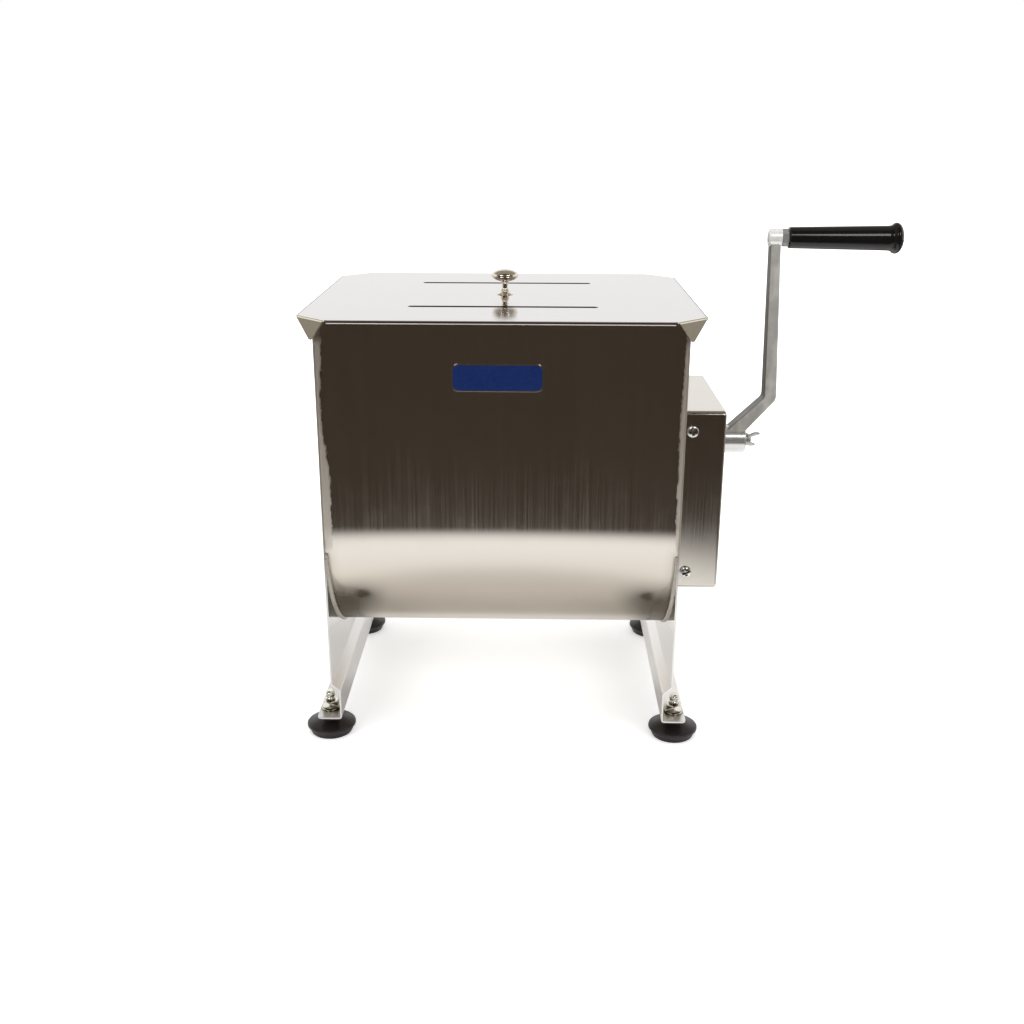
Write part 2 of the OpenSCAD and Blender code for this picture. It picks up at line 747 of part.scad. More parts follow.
module crank_arm() {
    reach = 2 * (elbow_x - hub_x);
    color("darkgray") difference() {
        union() {
            bar_x(hub_r, hub_x, hub_end, 0, crank_z);
            intersection() {
                translate([0, arm_w_low / 2, 0]) rotate([90, 0, 0]) linear_extrude(arm_w_low) arm_front();
                along_x(hub_x) linear_extrude(reach) arm_side();
            }
            bar_x(boss_r, boss_x, boss_x + boss_l, 0, grip_z);
        }
        intersection() {
            bar_x(crank_shaft_r + run_fit, hub_x - 1, shaft_end, 0, crank_z);
            translate([hub_x - 1, -hub_r, crank_z - hub_r])
                cube([hub_l, 2 * hub_r, hub_r + shaft_flat + run_fit]);
        }
        bar_x(wing_thread_r + 1, shaft_end - 1, hub_end + 1, 0, crank_z);
        bar_x(spindle_r, boss_x - 1, boss_x + boss_l + 1, 0, grip_z);
    }
}

module grip_spindle() {
    head_x = grip_end - spindle_head_t;
    color("gainsboro") {
        bar_x(spindle_r, boss_x, head_x + eps, 0, grip_z);
        bar_x(spindle_head_r, head_x, grip_end - turn_gap, 0, grip_z);
    }
}

module spindle_nut() {
    color("gainsboro") difference() {
        hex_x(spindle_nut_af, boss_x + boss_l, boss_x + boss_l + spindle_nut_h, grip_z);
        bar_x(spindle_r, boss_x, grip_x + 1, 0, grip_z);
    }
}

// One wing in X and Y, rounded at its tip.
module wing_outline() {
    tip = 3;
    root = crank_shaft_r * 0.7;
    polygon([[1.5, 0], [5, 0], [6, root], [wing_x, wing_r - tip], [wing_x - tip, wing_r],
        [wing_x - 2 * tip, wing_r - tip], [1.5, root]]);
    translate([wing_x - tip, wing_r - tip]) circle(tip);
}

module wing_screw() {
    t = 2.6;
    body_r = crank_shaft_r * 0.95;
    color("gainsboro") {
        bar_x(wing_thread_r, hub_x + hub_l * 0.3, hub_end + turn_gap + eps, 0, crank_z);
        bar_x(body_r, hub_end + turn_gap, hub_end + turn_gap + 5, 0, crank_z);
        translate([hub_end + turn_gap, 0, crank_z]) rotate([-wing_tilt, 0, 0]) for (side = [0, 1])
            translate([0, 0, -t / 2]) mirror([0, side, 0]) linear_extrude(t) wing_outline();
    }
}

module grip_sleeve() {
    bore = spindle_r + run_fit;
    color("black") translate([grip_x, 0, grip_z]) rotate([0, 90, 0]) rotate_extrude() polygon([
        [bore, 0], [grip_r_in - 0.8, 0], [grip_r_in, 0.8], [grip_r_out, grip_l - eps], [grip_r_out, grip_l],
        [spindle_head_r + turn_gap, grip_l], [spindle_head_r + turn_gap, grip_l - spindle_head_t - turn_gap],
        [bore, grip_l - spindle_head_t - turn_gap]]);
}

module grip_cap() {
    flare = cap_l * 0.3;
    dome_x = cap_l * 0.42;
    color("black") translate([grip_end, 0, grip_z]) rotate([0, 90, 0]) rotate_extrude() polygon(concat(
        [[0, 0], [grip_r_out, 0], [grip_r_out + 0.3, flare * 0.4], [cap_r - 0.3, flare]],
        [for (a = [0 : 15 : 75]) [cap_r * pow(cos(a), 0.8), dome_x + (cap_l - dome_x) * pow(sin(a), 0.9)]],
        [[0, cap_l]]));
}

module drive_shaft() {
    end = gear_plate_out + turn_gap + clip_t + 1;
    color("lightgray") difference() {
        bar_x(drive_shaft_r, dog_x, end, 0, axis_z);
        translate([gear_x + 1, -key_w / 2, axis_z + drive_shaft_r - key_w / 2])
            cube([gear_w - 2, key_w, key_w]);
        translate([(dog_x + paddle_end) / 2, 0, 0]) pin_hole();
    }
}

// The hole for the pin that joins the drive shaft and the paddle shaft.
module pin_hole() {
    translate([0, 0, axis_z - paddle_shaft_r - 1]) cylinder(r = pin_r, h = 2 * paddle_shaft_r + 2);
}

module drive_gear() {
    color("lightsteelblue") difference() {
        along_x(gear_x, axis_z) linear_extrude(gear_w) gear_outline(gear_teeth, 90);
        bar_x(drive_shaft_r + close_fit / 2, gear_x - 1, gear_x + gear_w + 1, 0, axis_z);
        translate([gear_x - 1, -key_w / 2, axis_z])
            cube([gear_w + 2, key_w, drive_shaft_r + key_w / 2 - 0.6]);
    }
}

module gear_key() {
    color("gainsboro") translate([gear_x + 1, -key_w / 2, axis_z + drive_shaft_r - key_w / 2])
        cube([gear_w - 2, key_w, key_w - 0.6]);
}

module drive_clip() {
    color("gainsboro") clip_ring(drive_shaft_r, gear_plate_out + turn_gap, axis_z);
}

module drive_pin() {
    color("gainsboro") translate([(dog_x + paddle_end) / 2, 0, axis_z - paddle_shaft_r])
        cylinder(r = pin_r, h = 2 * paddle_shaft_r);
}

// Place and turn of each paddle about the shaft.
function paddle_x(i) = paddle_first + i * paddle_pitch;
function paddle_turn(i) = 45 + 90 * i;

// Repeats its children at each paddle, turned so that +Z runs along the stem.
module at_paddles() {
    for (i = [0 : paddle_count - 1])
        translate([paddle_x(i), 0, axis_z]) rotate([paddle_turn(i), 0, 0]) children();
}

module paddle_shaft() {
    color("lightgray") difference() {
        bar_x(paddle_shaft_r, -paddle_end, paddle_end, 0, axis_z);
        bar_x(drive_shaft_r + close_fit / 2, dog_x - turn_gap, paddle_end + 1, 0, axis_z);
        bar_x(pivot_thread_r, -paddle_end - 1, -paddle_end + pivot_thread_l, 0, axis_z);
        translate([(dog_x + paddle_end) / 2, 0, 0]) pin_hole();
        at_paddles() cylinder(r = stem_r, h = paddle_shaft_r + 1);
    }
}

module paddle_stems() {
    stem_end = blade_reach - blade_l * 0.35;
    color("lightgray") at_paddles() cylinder(r = stem_r, h = stem_end);
}

module paddle_blades() {
    low = blade_reach - blade_l;
    stem_end = blade_reach - blade_l * 0.35;
    color("lightgray") at_paddles() rotate([0, 0, blade_turn]) difference() {
        translate([-blade_w / 2, blade_t / 2, low]) rotate([90, 0, 0])
            linear_extrude(blade_t) round_rect(blade_w, blade_l, blade_l / 6);
        cylinder(r = stem_r, h = stem_end);
    }
}

module pivot_bolt() {
    head = -pivot_face - turn_gap - pivot_washer_t;
    color("gainsboro") {
        bar_x(pivot_thread_r, -paddle_end - eps, -paddle_end + pivot_thread_l - 1, 0, axis_z);
        bar_x(pivot_r, head - eps, -paddle_end, 0, axis_z);
        hex_x(pivot_r * 2.6, head - pivot_head_t, head, axis_z);
    }
}

module pivot_washer() {
    color("gainsboro") difference() {
        bar_x(pivot_r * 1.8, -pivot_face - turn_gap - pivot_washer_t, -pivot_face - turn_gap, 0, axis_z);
        bar_x(pivot_r + close_fit, -pivot_face - 2 * pivot_washer_t, -pivot_face + 1, 0, axis_z);
    }
}

trough();
end_plate_left();
end_plate_right();
foot_pads();
foot_studs();
foot_washers();
foot_nuts();
badge();
bearing_plate();
gear_plate();
plate_spacers();
plate_bolts();
crank_bush_inner();
crank_bush_outer();
drive_bush_inner();
drive_bush_outer();
pivot_bush();
pivot_bush_screws();
shaft_seals();
gear_cover();
cover_brackets();
cover_screws();
lid();
lid_knob();
knob_washer();
knob_screw();
crank_shaft();
pinion();
pinion_key();
crank_clip();
crank_arm();
grip_spindle();
spindle_nut();
wing_screw();
grip_sleeve();
grip_cap();
drive_shaft();
drive_gear();
gear_key();
drive_clip();
drive_pin();
paddle_shaft();
paddle_stems();
paddle_blades();
pivot_bolt();
pivot_washer();
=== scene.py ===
"""Looks of a hand-cranked meat mixer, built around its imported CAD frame.

The frame is the CAD part's: X to the crank side, Y to the back, Z up. Pieces are sized in millimetres.
The finishes' patterns and the studio are in metres, the scene's unit, unless a name ends in mm.
"""

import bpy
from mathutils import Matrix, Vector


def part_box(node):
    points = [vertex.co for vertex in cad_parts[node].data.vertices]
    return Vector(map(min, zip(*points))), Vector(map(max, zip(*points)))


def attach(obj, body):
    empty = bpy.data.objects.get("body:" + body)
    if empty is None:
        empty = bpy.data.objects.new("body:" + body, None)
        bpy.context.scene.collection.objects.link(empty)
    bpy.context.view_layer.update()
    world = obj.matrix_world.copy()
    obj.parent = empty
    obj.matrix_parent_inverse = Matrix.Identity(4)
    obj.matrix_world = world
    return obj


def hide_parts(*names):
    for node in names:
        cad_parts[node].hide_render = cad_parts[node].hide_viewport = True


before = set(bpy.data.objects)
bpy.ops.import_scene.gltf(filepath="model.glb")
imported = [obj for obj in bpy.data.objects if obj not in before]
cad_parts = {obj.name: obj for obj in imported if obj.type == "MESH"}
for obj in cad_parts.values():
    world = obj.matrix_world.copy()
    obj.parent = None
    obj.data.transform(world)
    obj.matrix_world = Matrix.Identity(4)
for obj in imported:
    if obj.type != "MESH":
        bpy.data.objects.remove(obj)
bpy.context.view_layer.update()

import logging
import math
from collections.abc import Sequence
from dataclasses import dataclass
from enum import Enum
from typing import Any

import bmesh
import bpy
from mathutils import Matrix, Vector

LOG = logging.getLogger("meat_mixer")
MM = 0.001
TURN = 2 * math.pi
# Angle in degrees above which an edge stays sharp.
SHARP = 32.0
# Mean of a noise.
MIDDLE = 0.5
Point = tuple[float, float]
Colour = tuple[float, float, float]
Row = Sequence[bmesh.types.BMVert]


class Axis(Enum):
    """Direction that a piece's axis points in: two vectors across it, then the one along it."""

    X = (Vector((0, 1, 0)), Vector((0, 0, 1)), Vector((1, 0, 0)))
    FRONT = (Vector((1, 0, 0)), Vector((0, 0, 1)), Vector((0, -1, 0)))
    Z = (Vector((1, 0, 0)), Vector((0, 1, 0)), Vector((0, 0, 1)))

    def around(self, angle: float) -> Vector:
        """The unit vector across the axis at that angle."""
        side, up, _ = self.value
        return side * math.cos(angle) + up * math.sin(angle)


class Grain(Enum):
    """Direction of the brush lines on a metal, as texture scales per metre along X, Y and Z."""

    UPRIGHT = (1100.0, 1100.0, 6.0)
    ALONG_X = (5.0, 900.0, 900.0)
    TURNED_X = (1500.0, 40.0, 40.0)
    TURNED_Z = (40.0, 40.0, 1500.0)
    CAST = (350.0, 350.0, 350.0)


# Node trees


class Sock:
    """A value in a node tree, on which Python's operators add Math nodes."""

    def __init__(self, owner: "Tree", socket: bpy.types.NodeSocket) -> None:
        """Keeps the socket and the tree that it belongs to."""
        self.owner = owner
        self.socket = socket

    def _math(self, operation: str, first: Any, second: Any = 0.0) -> "Sock":
        """Adds one Math node of that operation, on one or two values or links."""
        return self.owner.node("ShaderNodeMath", {"operation": operation}, {0: first, 1: second})

    def __add__(self, other: Any) -> "Sock":
        """Sum."""
        return self._math("ADD", self, other)

    __radd__ = __add__

    def __sub__(self, other: Any) -> "Sock":
        """Difference."""
        return self._math("SUBTRACT", self, other)

    def __rsub__(self, other: Any) -> "Sock":
        """Difference from a number."""
        return self._math("SUBTRACT", other, self)

    def __mul__(self, other: Any) -> "Sock":
        """Product."""
        return self._math("MULTIPLY", self, other)

    __rmul__ = __mul__

    def __truediv__(self, other: Any) -> "Sock":
        """Quotient."""
        return self._math("DIVIDE", self, other)

    def __abs__(self) -> "Sock":
        """Size without its sign."""
        return self._math("ABSOLUTE", self)

    def root(self) -> "Sock":
        """Square root."""
        return self._math("SQRT", self)

    def or_more(self, other: Any) -> "Sock":
        """The larger of two values."""
        return self._math("MAXIMUM", self, other)

    def above(self, edge: float, soft: float) -> "Sock":
        """A smooth step from 0 to 1.

        Args:
            edge: Value at which the step is half way.
            soft: Width of the step.

        Returns:
            The step as a value from 0 to 1.
        """
        settings = {"interpolation_type": "SMOOTHSTEP"}
        inputs = {"Value": self, "From Min": edge - soft / 2, "From Max": edge + soft / 2}
        return self.owner.node("ShaderNodeMapRange", settings, inputs)

    def below(self, edge: float, soft: float) -> "Sock":
        """A smooth step from 1 to 0."""
        return 1 - self.above(edge, soft)


class Tree:
    """A node tree under construction."""

    def __init__(self, tree: bpy.types.NodeTree) -> None:
        """Keeps Blender's own tree."""
        self.tree = tree

    def node(self, kind: str, settings: dict[str, Any] | None = None,
             inputs: dict[int | str, Any] | None = None, out: int | str = 0) -> Sock:
        """Adds any node.

        Args:
            kind: The node's type.
            settings: The node's own properties, set first.
            inputs: Values or links by socket name or number.
            out: Name or number of the output that is wanted.

        Returns:
            That output.
        """
        made = self.tree.nodes.new(kind)
        for key, value in (settings or {}).items():
            setattr(made, key, value)
        for key, value in (inputs or {}).items():
            self.feed(made.inputs[key], value)
        return Sock(self, made.outputs[out])

    def feed(self, socket: bpy.types.NodeSocket, value: Any) -> None:
        """Links a value to a socket, or sets the socket's own value.

        Args:
            socket: An input of a node.
            value: A link, a number, a vector, or a colour without its alpha.
        """
        if isinstance(value, Sock):
            self.tree.links.new(value.socket, socket)
        elif socket.type == "RGBA":
            socket.default_value = (*value, 1.0)
        else:
            socket.default_value = value


class Shader(Tree):
    """A material under construction, around one Principled shader."""

    def __init__(self, name: str) -> None:
        """Starts an empty material.

        Args:
            name: Name of the material.
        """
        self.material = bpy.data.materials.new(name)
        self.material.use_nodes = True
        super().__init__(self.material.node_tree)
        self.tree.nodes.clear()
        self.output = self.tree.nodes.new("ShaderNodeOutputMaterial")
        self.bsdf = self.node("ShaderNodeBsdfPrincipled")
        self.show(self.bsdf)

    def show(self, surface: Sock) -> None:
        """Makes a shader the material's surface."""
        self.feed(self.output.inputs["Surface"], surface)

    def place(self) -> Sock:
        """Object coordinates, which are the part's own metres."""
        return self.node("ShaderNodeTexCoord", out="Object")

    def axes(self) -> tuple[Sock, ...]:
        """The three object coordinates, in metres."""
        split = self.node("ShaderNodeSeparateXYZ", inputs={0: self.place()})
        return tuple(Sock(self, socket) for socket in split.socket.node.outputs)

    def noise(self, scale: float | Sequence[float], detail: float = 2.0, rough: float = 0.5) -> Sock:
        """Noise over the object coordinates.

        Args:
            scale: Cells per metre, the same all ways or along X, Y and Z.
            detail: Octaves.
            rough: Share of the finer octaves.

        Returns:
            The noise, from 0 to 1 and mostly near 0.5.
        """
        scales = tuple(scale) if isinstance(scale, Sequence) else (scale,) * 3
        spot = self.node("ShaderNodeMapping", inputs={"Vector": self.place(), "Scale": scales})
        inputs = {"Vector": spot, "Scale": 1.0, "Detail": detail, "Roughness": rough}
        return self.node("ShaderNodeTexNoise", {"noise_dimensions": "3D"}, inputs)

    def open_sky(self, reach_mm: float, alone: bool = False) -> Sock:
        """How open a point is within a reach, from 0 to 1.

        Args:
            reach_mm: Distance at which other faces no longer count.
            alone: Whether only the piece's own faces count.

        Returns:
            The openness.
        """
        settings = {"samples": 8, "only_local": alone}
        return self.node("ShaderNodeAmbientOcclusion", settings, {"Distance": reach_mm * MM}, out="AO")

    def mix(self, share: Any, low: Any, high: Any) -> Sock:
        """A colour between two colours.

        Args:
            share: 0 for the first colour, 1 for the second.
            low: First colour.
            high: Second colour.

        Returns:
            The mixed colour.
        """
        settings = {"data_type": "RGBA", "clamp_factor": True}
        return self.node("ShaderNodeMix", settings, {0: share, 6: low, 7: high}, out=2)

    def bump(self, height: Sock, depth_mm: float, strength: float) -> Sock:
        """Bumps of that depth, for the Normal socket."""
        return self.node("ShaderNodeBump",
                         inputs={"Strength": strength, "Distance": depth_mm * MM, "Height": height})

    def lay_matte(self, share: Sock, colour: Colour) -> None:
        """Lays a matte colour over the surface.

        Args:
            share: How far it covers the surface, from 0 to 1.
            colour: Its colour.
        """
        inputs = {"Base Color": colour, "Roughness": 0.6, "Specular IOR Level": 0.1}
        matte = self.node("ShaderNodeBsdfPrincipled", inputs=inputs)
        self.show(self.node("ShaderNodeMixShader", inputs={0: share, 1: self.bsdf, 2: matte}))

    def finish(self, **sockets: Any) -> bpy.types.Material:
        """Feeds the Principled shader.

        Args:
            sockets: Values by socket name, with underscores for spaces.

        Returns:
            The finished material.
        """
        for key, value in sockets.items():
            self.feed(self.bsdf.socket.node.inputs[key.replace("_", " ")], value)
        return self.material


# Finishes


def toned(colour: Colour, share: float) -> Colour:
    """A darker or lighter tone of a colour."""
    return tuple(min(1.0, share * part) for part in colour)


@dataclass(frozen=True)
class BrushedSteel:
    """Stainless sheet with brush lines, faint blotches and a few scratches."""

    name: str
    tint: Colour
    roughness: float = 0.2
    grain: Grain = Grain.UPRIGHT
    streaks: float = 0.1
    scratches: float = 0.5

    def surface(self, shader: Shader) -> tuple[Sock, Sock, Sock]:
        """Colour, roughness and height of the brushed sheet.

        Args:
            shader: The material under construction.

        Returns:
            Base colour, roughness and bump height.
        """
        lines = shader.noise(self.grain.value, detail=3.0, rough=0.6)
        blotch = shader.noise(9.0, detail=3.0)
        fine = tuple(scale * (1.3 if scale > 100.0 else 2.8) for scale in self.grain.value)
        scratch = shader.noise(fine, detail=1.0).above(0.74, 0.05) * self.scratches
        smear = shader.noise(60.0, detail=4.0).above(0.62, 0.2)
        tick = shader.noise((90.0, 90.0, 650.0), detail=1.0).above(0.75, 0.06) * self.scratches
        colour = shader.mix(lines * 0.7 + blotch * 0.3, toned(self.tint, 0.9), toned(self.tint, 1.06))
        rough = self.roughness + (lines - MIDDLE) * self.streaks + (blotch - MIDDLE) * 0.06
        rough = rough + smear * 0.02 + scratch * 0.12 + tick * 0.08
        return colour, rough, lines + scratch * 0.8

    def metal(self, shader: Shader, colour: Sock, rough: Sock, height: Sock) -> bpy.types.Material:
        """Ends the material as bare metal.

        Args:
            shader: The material under construction.
            colour: Base colour.
            rough: Roughness.
            height: Bump height.

        Returns:
            The finished material.
        """
        normal = shader.bump(height, depth_mm=0.012, strength=0.35)
        return shader.finish(Base_Color=colour, Roughness=rough, Metallic=1.0, Normal=normal)

    def build(self) -> bpy.types.Material:
        """The finished material."""
        shader = Shader(self.name)
        return self.metal(shader, *self.surface(shader))


@dataclass(frozen=True)
class WeldedSteel(BrushedSteel):
    """Brushed sheet whose upright weld seams are dressed by grinding."""

    pale: Colour = (0.975, 0.91, 0.825)
    # Each limit of a mark is a step, given by its middle and its width.
    strip_x: Point = (0.1402, 0.0022)
    strip_y: Point = (0.1215, 0.003)
    strip_low: Point = (0.176, 0.012)
    strip_high: Point = (0.353, 0.02)

    def wander(self, shader: Shader) -> Sock:
        """A slow sway of the marks' edges, about 0."""
        return shader.noise((5.0, 0.0, 9.0), detail=1.0) - MIDDLE

    def crank_side(self, x: Sock) -> Sock:
        """0 on the side away from the crank, 1 on the crank's."""
        return x.above(0.0, 0.1)

    def dressed(self, shader: Shader, colour: Sock, rough: Sock, height: Sock) -> tuple[Sock, Sock, Sock]:
        """Lays the ragged ground strips beside the upright welds over the sheet.

        Args:
            shader: The material under construction.
            colour: Base colour so far.
            rough: Roughness so far.
            height: Bump height so far.

        Returns:
            Base colour, roughness and bump height.
        """
        x, y, z = shader.axes()
        ragged = shader.noise((300.0, 300.0, 150.0), detail=4.0, rough=0.65) - MIDDLE
        edge = (abs(x) - self.crank_side(x) * 0.002 + self.wander(shader) * (0.0105 - x * 0.03)
                + ragged * 0.005)
        strip = edge.above(*self.strip_x) * abs(y).above(*self.strip_y)
        ground = strip * z.above(*self.strip_low) * z.below(*self.strip_high)
        grit = shader.noise((700.0, 700.0, 500.0), detail=3.0)
        colour = shader.mix(ground * 0.95, colour, self.pale)
        return colour, rough + ground * (0.3 + grit * 0.16), height + ground * grit * 3.0


@dataclass(frozen=True)
class TankSteel(WeldedSteel):
    """The trough's sheet: warmer near its bottom, with heat marks by the low welds, and painted reflection
    and shade in its low corners.
    """

    warmth: Colour = (0.97, 0.945, 0.88)
    heat: Colour = (0.3, 0.28, 0.22)
    scorch: Colour = (0.22, 0.19, 0.14)
    # Colour of the painted reflection and shade in the low corners, with its limits below.
    corner_shade: Colour = (0.075, 0.062, 0.046)
    warm_z: Point = (0.155, 0.05)
    heat_x: Point = (0.1385, 0.013)
    heat_z: Point = (0.18, 0.02)
    scorch_x: Point = (0.1412, 0.002)
    scorch_z: Point = (0.172, 0.008)
    corner_shade_x: Point = (0.147, 0.034)
    corner_shade_z: Point = (0.137, 0.034)
    corner_shade_slope: float = 0.3

    def build(self) -> bpy.types.Material:
        """Builds the material.

        Returns:
            The finished material.
        """
        shader = Shader(self.name)
        colour, rough, height = self.surface(shader)
        x, _, z = shader.axes()
        across = abs(x)
        warm = tuple(part * share for part, share in zip(self.tint, self.warmth))
        colour = shader.mix(z.below(*self.warm_z) * 0.9, colour, warm)
        colour, rough, height = self.dressed(shader, colour, rough, height)
        heated = across.above(*self.heat_x) * z.below(*self.heat_z)
        colour = shader.mix(heated * 0.27, colour, self.heat)
        scorched = across.above(*self.scorch_x) * z.below(*self.scorch_z)
        colour = shader.mix(scorched * 0.54, colour, self.scorch)
        # Painted reflection and shade: a dark matte wedge in each low corner by the plates stands in for the
        # mirrored feet and legs.
        slant = across + z * self.corner_shade_slope + self.wander(shader) * 0.01
        corner = slant.above(*self.corner_shade_x) * z.below(*self.corner_shade_z) * (1 - self.crank_side(x) * 0.1)
        shader.lay_matte(corner * 0.82, self.corner_shade)
        return self.metal(shader, colour, rough, height)


@dataclass(frozen=True)
class PlateSteel(WeldedSteel):
    """An end plate's sheet: painted shade round the feet and on the plate away from the crank, and smoother
    inside, where it mirrors the trough.
    """

    foot_shade: Colour = (0.2, 0.18, 0.1)
    foot_shade_mm: float = 11.0
    foot_shade_z: Point = (0.045, 0.02)
    trough_z: float = 0.198
    # Square of the distance from the trough's axis.
    trough_rr: Point = (0.0159, 0.0003)
    trough_low: Point = (0.004, 0.008)
    inner_x: Point = (0.1452, 0.0006)
    mirror_z: Point = (0.067, 0.016)
    mirror_slope: float = 0.344

    def build(self) -> bpy.types.Material:
        """Builds the material.

        Returns:
            The finished material.
        """
        shader = Shader(self.name)
        colour, rough, height = self.dressed(shader, *self.surface(shader))
        x, y, z = shader.axes()
        # Painted shade: olive-dark where other parts close in round the feet.
        shaded_feet = shader.open_sky(self.foot_shade_mm).below(0.66, 0.5) * z.below(*self.foot_shade_z)
        colour = shader.mix(shaded_feet, colour, self.foot_shade)
        # Painted shade: the plate away from the crank is darker.
        shade = 0.87 + self.crank_side(x) * 0.13
        colour = shader.node("ShaderNodeVectorMath", {"operation": "SCALE"}, {0: colour, "Scale": shade})
        drop = self.trough_z - z
        outside = (y * y + drop * drop).above(*self.trough_rr) * drop.above(*self.trough_low)
        height_in = z - abs(y) * self.mirror_slope
        mirror = outside * abs(x).below(*self.inner_x) * height_in.above(*self.mirror_z)
        return self.metal(shader, colour, rough - mirror * 0.2, height)


@dataclass(frozen=True)
class PlatedMetal:
    """Bright plating, with a slight cloudiness and fine turning or rolling marks, and painted shade in its
    crevices where asked.
    """

    name: str
    tint: Colour
    roughness: float = 0.12
    grain: Grain = Grain.TURNED_X
    cloud: float = 0.08
    crevice_shade_mm: float = 0.0
    crevice_shade: Colour = (0.012, 0.011, 0.01)
    alone: bool = True
    metal: float = 1.0

    def build(self) -> bpy.types.Material:
        """Builds the material.

        Returns:
            The finished material.
        """
        shader = Shader(self.name)
        marks = shader.noise(self.grain.value)
        cloud = shader.noise(130.0, detail=4.0)
        colour = shader.mix(cloud, toned(self.tint, 0.86), self.tint)
        # Painted shade: darker where the piece or its neighbours close in round a point.
        if self.crevice_shade_mm:
            unshaded = shader.open_sky(self.crevice_shade_mm, self.alone).above(0.6, 0.5)
            colour = shader.mix(unshaded, self.crevice_shade, colour)
        rough = self.roughness + (cloud - 0.4) * self.cloud + (marks - MIDDLE) * self.cloud
        normal = shader.bump(marks, depth_mm=0.006, strength=0.25)
        return shader.finish(Base_Color=colour, Roughness=rough, Metallic=self.metal, Normal=normal)


@dataclass(frozen=True)
class CastGrey:
    """Tumbled grey casting: a fine sand texture with lighter rubbed patches, and painted shade on its inward
    side.
    """

    name: str
    tint: Colour = (0.575, 0.552, 0.515)
    shaded: Colour = (0.1, 0.095, 0.085)

    def build(self) -> bpy.types.Material:
        """Builds the material.

        Returns:
            The finished material.
        """
        shader = Shader(self.name)
        sand = shader.noise(1500.0, detail=3.0)
        skin = shader.noise((220.0, 220.0, 120.0), detail=4.0, rough=0.6)
        rubbed = shader.noise((70.0, 70.0, 35.0), detail=3.0).above(0.55, 0.25)
        colour = shader.mix(skin, toned(self.tint, 0.6), self.tint)
        colour = shader.mix(rubbed * 0.6, colour, toned(self.tint, 1.4))
        # Painted shade on the faces that point inward, towards the cover.
        facing = shader.node("ShaderNodeTexCoord", out="Normal")
        inward = shader.node("ShaderNodeSeparateXYZ", inputs={0: facing}) * -1.0
        colour = shader.mix(inward.above(0.5, 0.3) * 0.8, colour, self.shaded)
        rough = 0.42 + (skin - MIDDLE) * 0.2 - rubbed * 0.06
        normal = shader.bump(sand * 0.5 + skin, depth_mm=0.05, strength=0.4)
        return shader.finish(Base_Color=colour, Roughness=rough, Metallic=0.4, Normal=normal)


@dataclass(frozen=True)
class Moulding:
    """Moulded rubber or plastic, with a fine skin and a little dust or rubbing."""

    name: str
    tint: Colour
    worn: Colour
    roughness: float
    skin_mm: float
    skin_scale: float = 900.0
    wear: float = 0.3

    def build(self) -> bpy.types.Material:
        """Builds the material.

        Returns:
            The finished material.
        """
        shader = Shader(self.name)
        skin = shader.noise(self.skin_scale, detail=3.0)
        rub = shader.noise(55.0, detail=5.0, rough=0.6).above(0.6, 0.3)
        colour = shader.mix(rub * self.wear, self.tint, self.worn)
        rough = self.roughness + rub * self.wear * 0.2 + (skin - MIDDLE) * 0.08
        normal = shader.bump(skin, self.skin_mm, strength=0.4)
        return shader.finish(Base_Color=colour, Roughness=rough, Normal=normal, Specular_IOR_Level=0.5)


@dataclass(frozen=True)
class Enamel:
    """Coloured enamel with pale flecks, under a thin clear coat."""

    name: str
    tint: Colour
    fleck: Colour = (0.25, 0.4, 0.85)

    def build(self) -> bpy.types.Material:
        """Builds the material.

        Returns:
            The finished material.
        """
        shader = Shader(self.name)
        flow = shader.noise(150.0, detail=3.0)
        flecks = shader.noise(2600.0, detail=1.0).above(0.63, 0.06)
        colour = shader.mix(flow, toned(self.tint, 0.8), toned(self.tint, 1.15))
        colour = shader.mix(flecks * 0.08, colour, self.fleck)
        normal = shader.bump(flow, depth_mm=0.02, strength=0.3)
        rough = 0.3 + (flow - MIDDLE) * 0.1
        return shader.finish(Base_Color=colour, Roughness=rough, Normal=normal, Coat_Weight=0.05,
                             Specular_IOR_Level=0.15)


